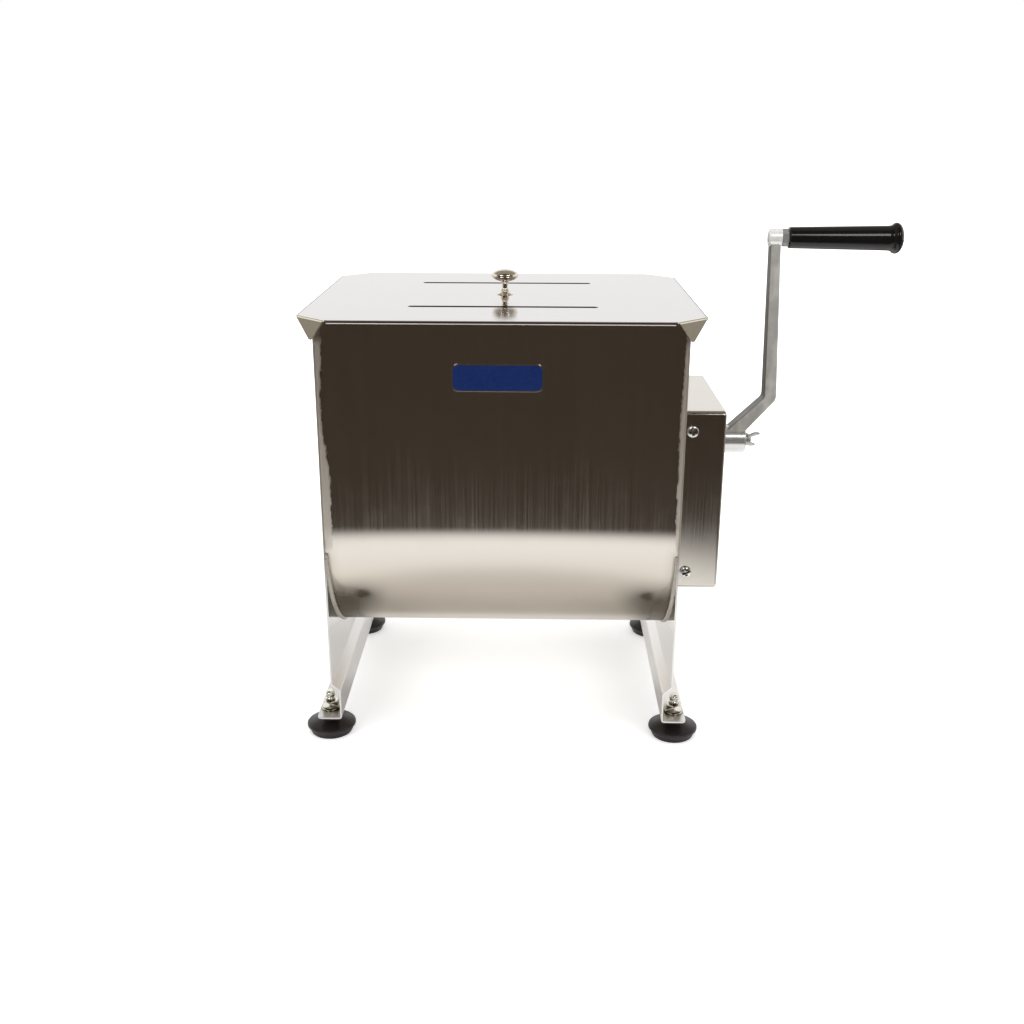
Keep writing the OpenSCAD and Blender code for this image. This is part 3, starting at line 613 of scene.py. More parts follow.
class Palette:
    """Every finish of the mixer, built once."""

    def __init__(self) -> None:
        """Builds the materials."""
        steel = (0.78, 0.728, 0.66)
        dull = (0.66, 0.65, 0.63)
        bright = (0.9, 0.89, 0.85)
        self.tank = TankSteel("tank_sheet", steel, 0.15, streaks=0.185).build()
        self.plate = PlateSteel("plate_sheet", (0.95, 0.925, 0.9), 0.3, pale=(0.68, 0.62, 0.52)).build()
        self.lid = BrushedSteel("lid_sheet", (0.72, 0.68, 0.672), 0.1, Grain.ALONG_X, 0.05, 0.2).build()
        self.fold = BrushedSteel("fold_sheet", (0.8, 0.765, 0.64), 0.14, Grain.ALONG_X, 0.05, 0.2).build()
        self.cover = BrushedSteel("cover_sheet", (0.725, 0.68, 0.615), 0.14, streaks=0.2).build()
        self.weld = PlatedMetal("weld_bead", (0.72, 0.68, 0.6), 0.3, Grain.TURNED_X, 0.2).build()
        self.zinc = PlatedMetal("zinc_plate", bright, 0.13, Grain.TURNED_Z).build()
        # Foot hardware: painted olive shade where the flange, plate and washer close in.
        self.hardware = PlatedMetal("foot_zinc", (0.95, 0.93, 0.83), 0.1, Grain.TURNED_Z, crevice_shade_mm=5.0,
                                    crevice_shade=(0.16, 0.145, 0.075), alone=False).build()
        # The spindle nut's dark, dull finish is painted shade: it stands for a zinc nut in the shade between
        # boss and grip.
        self.nut = PlatedMetal("shaded_spindle_nut", (0.3, 0.29, 0.28), 0.35, Grain.CAST, 0.1, metal=0.3).build()
        self.wing = PlatedMetal("wing_casting", (0.5, 0.49, 0.47), 0.25, Grain.CAST, 0.1, metal=0.85).build()
        # Screw heads: painted black shade in the cross recess.
        self.screw = PlatedMetal("screw_plate", bright, 0.18, Grain.CAST, 0.1, crevice_shade_mm=3.0).build()
        self.polish = PlatedMetal("polished_hub", (0.9, 0.89, 0.87), 0.22, Grain.CAST, 0.06,
                                  metal=0.8).build()
        self.boss = PlatedMetal("bright_boss", (0.99, 0.98, 0.95), 0.26, Grain.CAST, 0.06, metal=0.4).build()
        self.nickel = PlatedMetal("warm_nickel", (0.88, 0.82, 0.69), 0.21, Grain.TURNED_Z, 0.05).build()
        self.turned = PlatedMetal("turned_steel", dull, 0.24, Grain.TURNED_X, 0.12).build()
        self.paddle = BrushedSteel("paddle_steel", dull, 0.3, Grain.ALONG_X).build()
        self.gear = PlatedMetal("oiled_gear", (0.42, 0.42, 0.43), 0.3, Grain.TURNED_X, 0.2).build()
        self.bronze = PlatedMetal("sintered_bronze", (0.58, 0.41, 0.2), 0.38, Grain.TURNED_X, 0.2).build()
        self.cast = CastGrey("grey_casting").build()
        self.rubber = Moulding("foot_rubber", (0.014, 0.0105, 0.01), (0.04, 0.032, 0.03), 0.3, 0.03).build()
        self.grip = Moulding("black_grip", (0.006, 0.0055, 0.0055), (0.012, 0.011, 0.011), 0.12, 0.004,
                             240.0, 0.2).build()
        self.nylon = Moulding("natural_nylon", (0.74, 0.72, 0.66), (0.6, 0.57, 0.5), 0.5, 0.02).build()
        self.enamel = Enamel("blue_enamel", (0.004, 0.017, 0.1)).build()


# Mesh work


def arc(centre: Point, radius: float, start: float, end: float, steps: int) -> list[Point]:
    """Points on an arc.

    Args:
        centre: Centre of the arc.
        radius: Its radius.
        start: First angle in degrees.
        end: Last angle in degrees.
        steps: Number of chords.

    Returns:
        The points, both ends included.
    """
    turns = [math.radians(start + (end - start) * i / steps) for i in range(steps + 1)]
    return [(centre[0] + radius * math.cos(turn), centre[1] + radius * math.sin(turn)) for turn in turns]


def rounded(points: Sequence[Point], radii: Sequence[float], steps: int = 5,
            closed: bool = True) -> list[Point]:
    """Rounds the corners of a path.

    Args:
        points: Corners of the path.
        radii: Radius at each corner, 0 for a sharp one.
        steps: Chords in each rounding.
        closed: Whether the last corner joins the first.

    Returns:
        The rounded path.
    """
    made: list[Point] = []
    count = len(points)
    for i, (corner, radius) in enumerate(zip(points, radii)):
        here = Vector(corner)
        if radius <= 0 or (not closed and i in (0, count - 1)):
            made.append(corner)
            continue
        before = (Vector(points[i - 1]) - here).normalized()
        after = (Vector(points[(i + 1) % count]) - here).normalized()
        half = before.angle(after) / 2
        reach = radius / math.tan(half)
        middle = here + (before + after).normalized() * radius / math.sin(half)
        first, last = here + before * reach - middle, here + after * reach - middle
        sweep = first.angle_signed(last)
        for k in range(steps + 1):
            turn = Matrix.Rotation(-sweep * k / steps, 2)
            made.append(tuple(middle + turn @ first))
    return made


def linked(name: str, data: bpy.types.ID) -> bpy.types.Object:
    """Puts a new object into the scene.

    Args:
        name: Its name.
        data: Its mesh, curve, light or camera.

    Returns:
        The object.
    """
    made = bpy.data.objects.new(name, data)
    bpy.context.scene.collection.objects.link(made)
    return made


def evaluated(piece: bpy.types.Object) -> bpy.types.Mesh:
    """A plain mesh of a piece, with its modifiers in it."""
    graph = bpy.context.evaluated_depsgraph_get()
    return bpy.data.meshes.new_from_object(piece.evaluated_get(graph))


def wrap(name: str, data: bpy.types.Mesh, material: bpy.types.Material,
         sharp: float = SHARP) -> bpy.types.Object:
    """Puts a mesh into the scene, shaded smooth.

    Args:
        name: Name of the piece.
        data: The mesh, in metres.
        material: Its material.
        sharp: Angle in degrees above which an edge stays sharp.

    Returns:
        The object.
    """
    data.materials.clear()
    data.materials.append(material)
    data.polygons.foreach_set("use_smooth", [True] * len(data.polygons))
    data.set_sharp_from_angle(angle=math.radians(sharp))
    return linked(name, data)


def to_object(name: str, mesh: bmesh.types.BMesh, material: bpy.types.Material,
              sharp: float = SHARP) -> bpy.types.Object:
    """Makes an object of a mesh in millimetres.

    Args:
        name: Name of the piece.
        mesh: The mesh, which is freed.
        material: Its material.
        sharp: Angle in degrees above which an edge stays sharp.

    Returns:
        The object, in metres at the origin.
    """
    bmesh.ops.recalc_face_normals(mesh, faces=mesh.faces)
    bmesh.ops.scale(mesh, vec=(MM, MM, MM), verts=mesh.verts)
    data = bpy.data.meshes.new(name)
    mesh.to_mesh(data)
    mesh.free()
    return wrap(name, data, material, sharp)


def add_bands(mesh: bmesh.types.BMesh, rows: Sequence[Row], capped: bool = False) -> None:
    """Joins each closed row of vertices to the next with a band of faces.

    Args:
        mesh: Mesh that takes the faces.
        rows: Rows of one length, or of a lone vertex where a band closes to a point.
        capped: Whether the first and the last row are filled.
    """
    for low, high in zip(rows, rows[1:]):
        count = max(len(low), len(high))
        for k in range(count):
            after = (k + 1) % count
            corners = (low[k % len(low)], low[after % len(low)], high[after % len(high)], high[k % len(high)])
            mesh.faces.new(list(dict.fromkeys(corners)))
    if capped:
        mesh.faces.new(rows[0])
        mesh.faces.new(list(reversed(rows[-1])))


def add_prism(mesh: bmesh.types.BMesh, outline: Sequence[Vector], shift: Vector, cuts: int = 1) -> None:
    """Extrudes a closed outline along a shift, in that number of stretches."""
    rows = [[mesh.verts.new(corner + shift * k / cuts) for corner in outline] for k in range(cuts + 1)]
    add_bands(mesh, rows, capped=True)


def turned(name: str, profile: Sequence[Point], at: Vector, axis: Axis, segments: int,
           finish: bpy.types.Material, sharp: float = SHARP) -> bpy.types.Object:
    """Turns a profile about an axis.

    Args:
        name: Name of the piece.
        profile: Radius and distance along the axis, from one end to the other.
        at: A point on the axis, at distance 0.
        axis: Direction of the axis.
        segments: Facets round the axis.
        finish: Its material.
        sharp: Angle in degrees above which an edge stays sharp.

    Returns:
        The piece, open at an end that has a radius.
    """
    mesh = bmesh.new()
    rings = []
    for radius, reach in profile:
        middle = at + axis.value[2] * reach
        spokes = [axis.around(TURN * k / segments) * radius for k in range(segments if radius else 1)]
        rings.append([mesh.verts.new(middle + spoke) for spoke in spokes])
    add_bands(mesh, rings)
    return to_object(name, mesh, finish, sharp)


def joined(name: str, parts: Sequence[bpy.types.Object]) -> bpy.types.Object:
    """Joins pieces into one mesh.

    Args:
        name: Name of the joined piece.
        parts: Pieces that are used up.

    Returns:
        The joined piece, with the first piece's material.
    """
    mesh = bmesh.new()
    for part in parts:
        mesh.from_mesh(part.data)
    material = parts[0].data.materials[0]
    for part in parts:
        bpy.data.objects.remove(part)
    data = bpy.data.meshes.new(name)
    mesh.to_mesh(data)
    mesh.free()
    return wrap(name, data, material)


def baked(piece: bpy.types.Object) -> None:
    """Turns a piece's modifiers into plain mesh.

    Args:
        piece: The piece.
    """
    data = evaluated(piece)
    piece.modifiers.clear()
    old = piece.data
    piece.data = data
    bpy.data.meshes.remove(old)


def bevelled(piece: bpy.types.Object, width: float, segments: int, angle: float) -> bpy.types.Object:
    """Rounds a piece's edges and bakes the result into its mesh.

    Args:
        piece: The piece.
        width: Rounding in millimetres.
        segments: Chords of the rounding.
        angle: Smallest angle in degrees of the edges that are rounded.

    Returns:
        The same piece.
    """
    modifier = piece.modifiers.new("round_edges", "BEVEL")
    modifier.width = width * MM
    modifier.segments = segments
    modifier.limit_method = "ANGLE"
    modifier.angle_limit = math.radians(angle)
    baked(piece)
    piece.data.set_sharp_from_angle(angle=math.radians(SHARP))
    return piece


def mount_piece(piece: bpy.types.Object, body: str, slot: str, *nodes: str) -> None:
    """Evens a finished piece's shading, bakes it into its mesh, hangs it on its body and hides the CAD nodes
    that it stands for.

    Args:
        piece: The piece.
        body: CAD body that it moves with.
        slot: Material slot of the record; not used.
        nodes: CAD nodes that it stands for.
    """
    even = piece.modifiers.new("even_shading", "WEIGHTED_NORMAL")
    even.keep_sharp = True
    baked(piece)
    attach(piece, body)
    if nodes:
        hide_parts(*nodes)
    LOG.info("%s: %d faces on %s", piece.name, len(piece.data.polygons), body)


def dress(node: str, material: bpy.types.Material) -> None:
    """Gives a CAD node that stays in view its material.

    Args:
        node: Name of the node.
        material: The material.
    """
    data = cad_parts[node].data
    data.materials.clear()
    data.materials.append(material)
    LOG.info("%s: CAD node in %s", node, material.name)


def hex_nut(name: str, flats: float, height: float, bore: float, at: Vector, axis: Axis,
            finish: bpy.types.Material) -> bpy.types.Object:
    """A hexagon nut whose corners are chamfered on both faces.

    Args:
        name: Name of the piece.
        flats: Size across its flats.
        height: Its height.
        bore: Radius of its hole.
        at: Middle of its lower face.
        axis: Direction of its axis.
        finish: Its material.

    Returns:
        The nut.
    """
    steps, sixth = 72, TURN / 6
    half = flats / 2
    face_r = half * 0.95
    fall = math.tan(math.radians(32))
    mesh = bmesh.new()
    rows: list[list[bmesh.types.BMVert]] = [[] for _ in range(6)]
    for k in range(steps):
        angle = TURN * k / steps
        edge = half / math.cos((angle + sixth / 2) % sixth - sixth / 2)
        drop = max(0.0, edge - face_r) * fall
        section = ((bore, 0.0), (face_r, 0.0), (edge, drop),
                   (edge, height - drop), (face_r, height), (bore, height))
        for row, (radius, reach) in zip(rows, section):
            row.append(mesh.verts.new(at + axis.value[2] * reach + axis.around(angle) * radius))
    add_bands(mesh, rows + rows[:1])
    return to_object(name, mesh, finish)


def pan_head(name: str, radius: float, height: float, at: Vector, axis: Axis, turn: float,
             finish: bpy.types.Material) -> bpy.types.Object:
    """A domed screw head with a cross recess.

    Args:
        name: Name of the piece.
        radius: Radius of the head.
        height: Height of the head.
        at: Middle of its seat.
        axis: Direction in which the head points.
        turn: Turn of the recess, in degrees.
        finish: Its material.

    Returns:
        The head.
    """
    rings, segments = 26, 96
    along = axis.value[2]
    angles = [TURN * k / segments for k in range(segments)]
    reach, slot, depth = radius * 0.64, radius * 0.17, height * 0.74
    mesh = bmesh.new()
    dome = []
    for i in range(1, rings + 1):
        share = i / rings
        place = radius * share
        top = height * (0.42 + 0.58 * math.sqrt(max(0.0, 1 - share ** 2.4)))
        row = []
        for angle in angles:
            u = place * math.cos(angle - math.radians(turn))
            v = place * math.sin(angle - math.radians(turn))
            in_arm = [max(0.0, 1 - max(abs(a) / (slot * 1.25), abs(b) / reach) ** 6)
                      for a, b in ((u, v), (v, u))]
            fall = depth * max(in_arm) * (1 - 0.2 * min(1.0, place / reach))
            row.append(mesh.verts.new(at + along * (top - fall) + axis.around(angle) * place))
        dome.append(row)
    tip = mesh.verts.new(at + along * (height - depth))
    rim = [mesh.verts.new(at + axis.around(angle) * radius * 0.98) for angle in angles]
    add_bands(mesh, [[tip], *dome, rim])
    mesh.faces.new(list(reversed(rim)))
    return to_object(name, mesh, finish)


# Geometry Nodes


class GeoTree(Tree):
    """A Geometry Nodes tree under construction, with named inputs."""

    def __init__(self, name: str) -> None:
        """Starts an empty tree.

        Args:
            name: Name of the tree.
        """
        super().__init__(bpy.data.node_groups.new(name, "GeometryNodeTree"))
        self.tree.interface.new_socket("Result", in_out="OUTPUT", socket_type="NodeSocketGeometry")
        self.entry = self.tree.nodes.new("NodeGroupInput")
        self.exit = self.tree.nodes.new("NodeGroupOutput")
        self.names: dict[str, str] = {}

    def input(self, name: str, kind: str = "Float") -> Sock:
        """Adds a named input.

        Args:
            name: Name of the input.
            kind: Kind of the socket.

        Returns:
            The socket that gives its value inside the tree.
        """
        item = self.tree.interface.new_socket(name, in_out="INPUT", socket_type=f"NodeSocket{kind}")
        self.names[name] = item.identifier
        return Sock(self, next(socket for socket in self.entry.outputs
                               if socket.identifier == item.identifier))

    def close(self, shape: Sock) -> "GeoTree":
        """Realizes the shape, gives it its finish and ends the tree.

        Args:
            shape: The shape.

        Returns:
            The tree itself.
        """
        finish = self.input("Finish", "Material")
        real = self.node("GeometryNodeRealizeInstances", inputs={0: shape})
        done = self.node("GeometryNodeSetMaterial", inputs={0: real, "Material": finish})
        self.feed(self.exit.inputs[0], done)
        return self

    def make(self, name: str, values: dict[str, Any], finish: bpy.types.Material) -> bpy.types.Object:
        """Runs the tree once and keeps its result as a plain mesh.

        Args:
            name: Name of the piece.
            values: Values of the named inputs.
            finish: Material of the result.

        Returns:
            The piece.
        """
        holder = linked(name + "_tree", bpy.data.meshes.new(name + "_tree"))
        modifier = holder.modifiers.new("tree", "NODES")
        modifier.node_group = self.tree
        for key, value in {**values, "Finish": finish}.items():
            modifier[self.names[key]] = value
        data = evaluated(holder)
        data.name = name
        holder.modifiers.clear()
        empty = holder.data
        bpy.data.objects.remove(holder)
        bpy.data.meshes.remove(empty)
        return wrap(name, data, finish)


def grid_tree() -> GeoTree:
    """Repeats a piece at the corners of a rectangle in X and Y, turned round at the back where asked.

    Returns:
        The tree.
    """
    tree = GeoTree("repeat_on_grid")
    piece = tree.input("Piece", "Object")
    wide = tree.input("Spacing X")
    deep = tree.input("Spacing Y")
    columns = tree.input("Columns", "Int")
    back_turn = tree.input("Turn At Back")
    grid = tree.node("GeometryNodeMeshGrid", inputs={0: wide, 1: deep, 2: columns, 3: 2})
    spot = tree.node("GeometryNodeInputPosition")
    y = tree.node("ShaderNodeSeparateXYZ", inputs={0: spot}, out=1)
    back = tree.node("ShaderNodeMath", {"operation": "GREATER_THAN"}, {0: y, 1: 0.0})
    euler = tree.node("ShaderNodeCombineXYZ", inputs={2: back * back_turn})
    shape = tree.node("GeometryNodeObjectInfo", inputs={0: piece}, out="Geometry")
    copies = tree.node("GeometryNodeInstanceOnPoints",
                       inputs={"Points": grid, "Instance": shape, "Rotation": euler})
    return tree.close(copies)


def on_grid(name: str, source: bpy.types.Object, spread: Point, columns: int, back_turn: float,
            finish: bpy.types.Material) -> bpy.types.Object:
    """Repeats a piece in two rows.

    Args:
        name: Name of the group.
        source: One piece, on the Z axis. It is removed.
        spread: Distances between the columns and between the rows.
        columns: Number of pieces in each row.
        back_turn: Turn of the back row's pieces, in radians.
        finish: Their material.

    Returns:
        The group.
    """
    values = {"Piece": source, "Spacing X": spread[0] * MM, "Spacing Y": spread[1] * MM, "Columns": columns,
              "Turn At Back": back_turn}
    piece = grid_tree().make(name, values, finish)
    bpy.data.objects.remove(source)
    return piece


def bead_tree() -> GeoTree:
    """Lays the ripples of a weld along an arc about X, as overlapping drops.

    Returns:
        The tree.
    """
    tree = GeoTree("weld_ripples")
    radius = tree.input("Arc Radius")
    start = tree.input("Start Angle")
    sweep = tree.input("Sweep Angle")
    count = tree.input("Ripples", "Int")
    size = tree.input("Ripple Radius")
    centre = tree.input("Centre", "Vector")
    seed = tree.input("Seed", "Int")
    bow = tree.node("GeometryNodeCurveArc", {"mode": "RADIUS"},
                    {"Resolution": count, "Radius": radius, "Start Angle": start, "Sweep Angle": sweep})
    upright = (TURN / 4, 0.0, TURN / 4)
    spin = tree.node("GeometryNodeTransform",
                     inputs={"Geometry": bow, "Translation": centre, "Rotation": upright})
    drop = tree.node("GeometryNodeMeshUVSphere", inputs={"Segments": 10, "Rings": 6, "Radius": size})
    uneven = tree.node("FunctionNodeRandomValue", {"data_type": "FLOAT"},
                       {2: 0.85, 3: 1.15, "Seed": seed}, out=1)
    points = tree.node("GeometryNodeCurveToPoints", {"mode": "EVALUATED"}, {"Curve": spin})
    copies = tree.node("GeometryNodeInstanceOnPoints",
                       inputs={"Points": points, "Instance": drop, "Scale": uneven})
    return tree.close(copies)


def thread_tree() -> GeoTree:
    """Winds a screw thread's ridge round an upright core.

    Returns:
        The tree.
    """
    tree = GeoTree("screw_thread")
    radius = tree.input("Radius")
    turns = tree.input("Turns")
    height = tree.input("Height")
    ridge = tree.input("Ridge")
    winding = {"Resolution": 28, "Rotations": turns, "Start Radius": radius, "End Radius": radius,
               "Height": height}
    spiral = tree.node("GeometryNodeCurveSpiral", inputs=winding)
    edge = tree.node("GeometryNodeCurvePrimitiveCircle", {"mode": "RADIUS"},
                     {"Resolution": 4, "Radius": ridge})
    shape = tree.node("GeometryNodeCurveToMesh",
                      inputs={"Curve": spiral, "Profile Curve": edge, "Fill Caps": True})
    return tree.close(shape)


# Sub-assemblies


@dataclass
class Tank:
    """Trough, end plates, welds and badge."""

    palette: Palette
    half_w: float = 146.0
    plate_t: float = 1.5
    sheet_t: float = 1.2
    radius: float = 126.0
    axis_z: float = 198.0
    rim_z: float = 366.0
    hem_h: float = 10.0
    hem_steps: int = 8
    arc_steps: int = 144
    joggle_z: float = 53.5
    joggle_in: float = 7.0
    joggle_h: float = 6.5
    flange_low: float = 20.0
    flange_out: float = 159.0
    flange_r: float = 4.0
    bend_r: float = 2.6
    weld_r: float = 1.5
    weld_in: float = 0.4
    weld_out: float = 0.3
    ripples: int = 250
    badge_r: float = 5.5
    badge_rim: float = 1.1
    rim_t: float = 0.55
    enamel_t: float = 0.8

    def build(self) -> None:
        """Builds every piece of the tank."""
        self.trough()
        for side, name in ((-1, "left"), (1, "right")):
            self.plate(side, f"end_plate_{name}")
        self.welds()
        self.badge()

    def trough(self) -> None:
        """The bent sheet with hemmed rims."""
        r, t = self.radius, self.sheet_t
        top, hem = self.rim_z - t, self.rim_z - self.hem_h
        inner = r - t
        path: list[Point] = [(-r + 2 * t, hem)]
        path += arc((-r + t, top), t, 0, 180, self.hem_steps)
        path += arc((0, self.axis_z), r, 180, 360, self.arc_steps)
        path += arc((r - t, top), t, 0, 180, self.hem_steps)
        path += [(r - 2 * t, hem), (inner, hem)]
        path += arc((0, self.axis_z), inner, 360, 180, self.arc_steps)
        path += [(-inner, hem)]
        mesh = bmesh.new()
        length = 2 * (self.half_w - self.plate_t)
        add_prism(mesh, [Vector((-length / 2, y, z)) for y, z in path], Vector((length, 0, 0)), 4)
        mount_piece(to_object("tank_trough", mesh, self.palette.tank), "frame", "sheet_steel", "trough")

    def plate(self, side: int, node: str) -> None:
        """One end plate with its step, leg and foot flange.

        Args:
            side: -1 for the left plate, 1 for the right one.
            node: CAD node that it stands for.
        """
        t = self.plate_t
        slope = math.hypot(self.joggle_in, self.joggle_h)
        mitre = t * (slope - self.joggle_h) / self.joggle_in
        leg_out, leg_top = self.half_w - self.joggle_in, self.joggle_z - self.joggle_h
        outer, inner = self.bend_r, self.bend_r - t
        corners = [(self.half_w, self.rim_z), (self.half_w, self.joggle_z), (leg_out, leg_top),
                   (leg_out, self.flange_low + t), (self.flange_out, self.flange_low + t),
                   (self.flange_out, self.flange_low), (leg_out - t, self.flange_low),
                   (leg_out - t, leg_top + mitre), (self.half_w - t, self.joggle_z + mitre),
                   (self.half_w - t, self.rim_z)]
        radii = [0, outer, inner, inner, 0, 0, outer, outer, inner, 0]
        mesh = bmesh.new()
        outline = [Vector((side * x, -self.radius, z)) for x, z in rounded(corners, radii)]
        add_prism(mesh, outline, Vector((0, 2 * self.radius, 0)))
        piece = to_object(f"{node}_sheet", mesh, self.palette.plate)
        self.round_flange(piece, side)
        mount_piece(bevelled(piece, 0.3, 2, 60), "frame", "sheet_steel", node)

    def round_flange(self, piece: bpy.types.Object, side: int) -> None:
        """Rounds the flange's two outer corners in plan.

        Args:
            piece: The plate.
            side: -1 for the left plate, 1 for the right one.
        """
        near = 0.01
        mesh = bmesh.new()
        mesh.from_mesh(piece.data)
        edges = []
        for edge in mesh.edges:
            first, last = (vert.co / MM for vert in edge.verts)
            upright = abs(first.z - last.z) > 1.0 and abs(first.x - last.x) < near
            if upright and abs(side * first.x - self.flange_out) < near and first.z < self.joggle_z:
                edges.append(edge)
        bmesh.ops.bevel(mesh, geom=edges, offset=self.flange_r * MM, segments=5, profile=0.5, affect="EDGES")
        mesh.to_mesh(piece.data)
        mesh.free()

    def welds(self) -> None:
        """Rippled weld beads between the curved bottom and the plates."""
        tree = bead_tree()
        skip = math.degrees(math.acos(self.radius / (self.radius + 2 * self.weld_r)))
        for side, name in ((-1, "left"), (1, "right")):
            x = side * (self.half_w - self.plate_t - self.weld_in)
            values = {"Arc Radius": (self.radius + self.weld_out) * MM,
                      "Start Angle": math.radians(180 + skip),
                      "Sweep Angle": math.radians(180 - 2 * skip),
                      "Ripples": self.ripples, "Ripple Radius": self.weld_r * MM,
                      "Centre": (x * MM, 0.0, self.axis_z * MM), "Seed": 7 + side}
            mount_piece(tree.make(f"weld_{name}", values, self.palette.weld), "frame", "sheet_steel")

    def badge(self) -> None:
        """A blank enamelled plate with a bright rim."""
        low, high = (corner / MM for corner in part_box("badge"))
        for name, inset, depth, finish in (
            ("badge_rim", 0.0, self.rim_t, self.palette.zinc),
            ("badge_plate", self.badge_rim, self.enamel_t, self.palette.enamel),
        ):
            corners = [(low.x + inset, low.z + inset), (high.x - inset, low.z + inset),
                       (high.x - inset, high.z - inset), (low.x + inset, high.z - inset)]
            mesh = bmesh.new()
            outline = rounded(corners, [self.badge_r - inset] * 4, 8)
            add_prism(mesh, [Vector((x, high.y, z)) for x, z in outline], Vector((0, -depth, 0)))
            mount_piece(bevelled(to_object(name, mesh, finish), 0.25, 2, 60), "frame", "badge_blue", "badge")


@dataclass
class Feet:
    """Rubber feet with their studs, washers and nuts."""

    palette: Palette
    spread: Point = (300.0, 215.0)
    back_turn: float = 0.7
    height: float = 20.0
    rim_r: float = 21.1
    base_r: float = 17.6
    hollow: float = 1.2
    stud_r: float = 4.0
    thread_d: float = 0.55
    ridge_r: float = 0.56
    tip: float = 0.9
    flange_top: float = 21.5
    washer_t: float = 1.6
    washer_gap: float = 0.1
    nut_h: float = 6.4
    nut_af: float = 13.0
    stud_top: float = 38.5
    pitch: float = 1.25

    def build(self) -> None:
        """Builds every foot."""
        zinc = self.palette.hardware
        seat = Vector((0, 0, self.flange_top + self.washer_t))
        self.repeat("foot_rubber_pads", self.pad(), self.palette.rubber, "foot_rubber", "foot_pads")
        self.repeat("foot_threaded_studs", self.stud(), zinc, "zinc_steel", "foot_studs")
        self.repeat("foot_flat_washers", self.washer(), zinc, "zinc_steel", "foot_washers")
        nut = hex_nut("nut_source", self.nut_af, self.nut_h, self.stud_r, seat, Axis.Z, zinc)
        self.repeat("foot_hex_nuts", nut, zinc, "zinc_steel", "foot_nuts")

    def repeat(self, name: str, source: bpy.types.Object, finish: bpy.types.Material, slot: str,
               node: str) -> None:
        """Puts a piece under each corner.

        Args:
            name: Name of the group.
            source: One piece, on the Z axis. It is removed.
            finish: Its material.
            slot: Material slot of the record.
            node: CAD node that the group stands for.
        """
        mount_piece(on_grid(name, source, self.spread, 2, self.back_turn, finish), "frame", slot, node)

    def pad(self) -> bpy.types.Object:
        """One rubber foot, hollow below.

        Returns:
            The foot.
        """
        corners = [(self.base_r - 2.5, 0.0), (self.base_r, 0.0), (self.rim_r - 1.1, 5.6), (self.rim_r, 6.5),
                   (self.rim_r, 8.4), (self.rim_r - 1.3, 9.2), (9.9, 12.6), (8.8, 13.6), (8.8, self.height)]
        shape = rounded(corners, [0, 0.8, 0.5, 0.5, 0.6, 0.5, 1.0, 0.8, 0], 4, closed=False)
        profile = [(0.0, self.hollow), (self.base_r - 3.6, self.hollow), *shape, (0.0, self.height)]
        return turned("pad_source", profile, Vector(), Axis.Z, 72, self.palette.rubber)

    def stud(self) -> bpy.types.Object:
        """One stud with a wound thread.

        Returns:
            The stud.
        """
        low, top, core = self.height / 3, self.stud_top, self.stud_r - self.thread_d
        profile = [(0, low), (core, low), (core, top - 0.8), (core - self.tip, top), (0, top)]
        core_piece = turned("stud_core", profile, Vector(), Axis.Z, 40, self.palette.zinc)
        reach = top - self.tip - self.flange_top
        values = {"Radius": core * MM, "Turns": reach / self.pitch, "Height": reach * MM,
                  "Ridge": self.ridge_r * MM}
        ridge = thread_tree().make("stud_ridge", values, self.palette.zinc)
        ridge.data.transform(Matrix.Translation((0, 0, self.flange_top * MM)))
        return joined("stud_source", [core_piece, ridge])

    def washer(self) -> bpy.types.Object:
        """One flat washer with a soft edge.

        Returns:
            The washer.
        """
        low, high = self.flange_top, self.flange_top + self.washer_t
        bore, edge = self.stud_r + self.washer_gap, 2 * self.stud_r
        profile = [(bore, low), (edge - 0.2, low), (edge, low + 0.3), (edge, high - 0.4), (edge - 0.4, high),
                   (bore, high), (bore, low)]
        return turned("washer_source", profile, Vector(), Axis.Z, 48, self.palette.zinc)


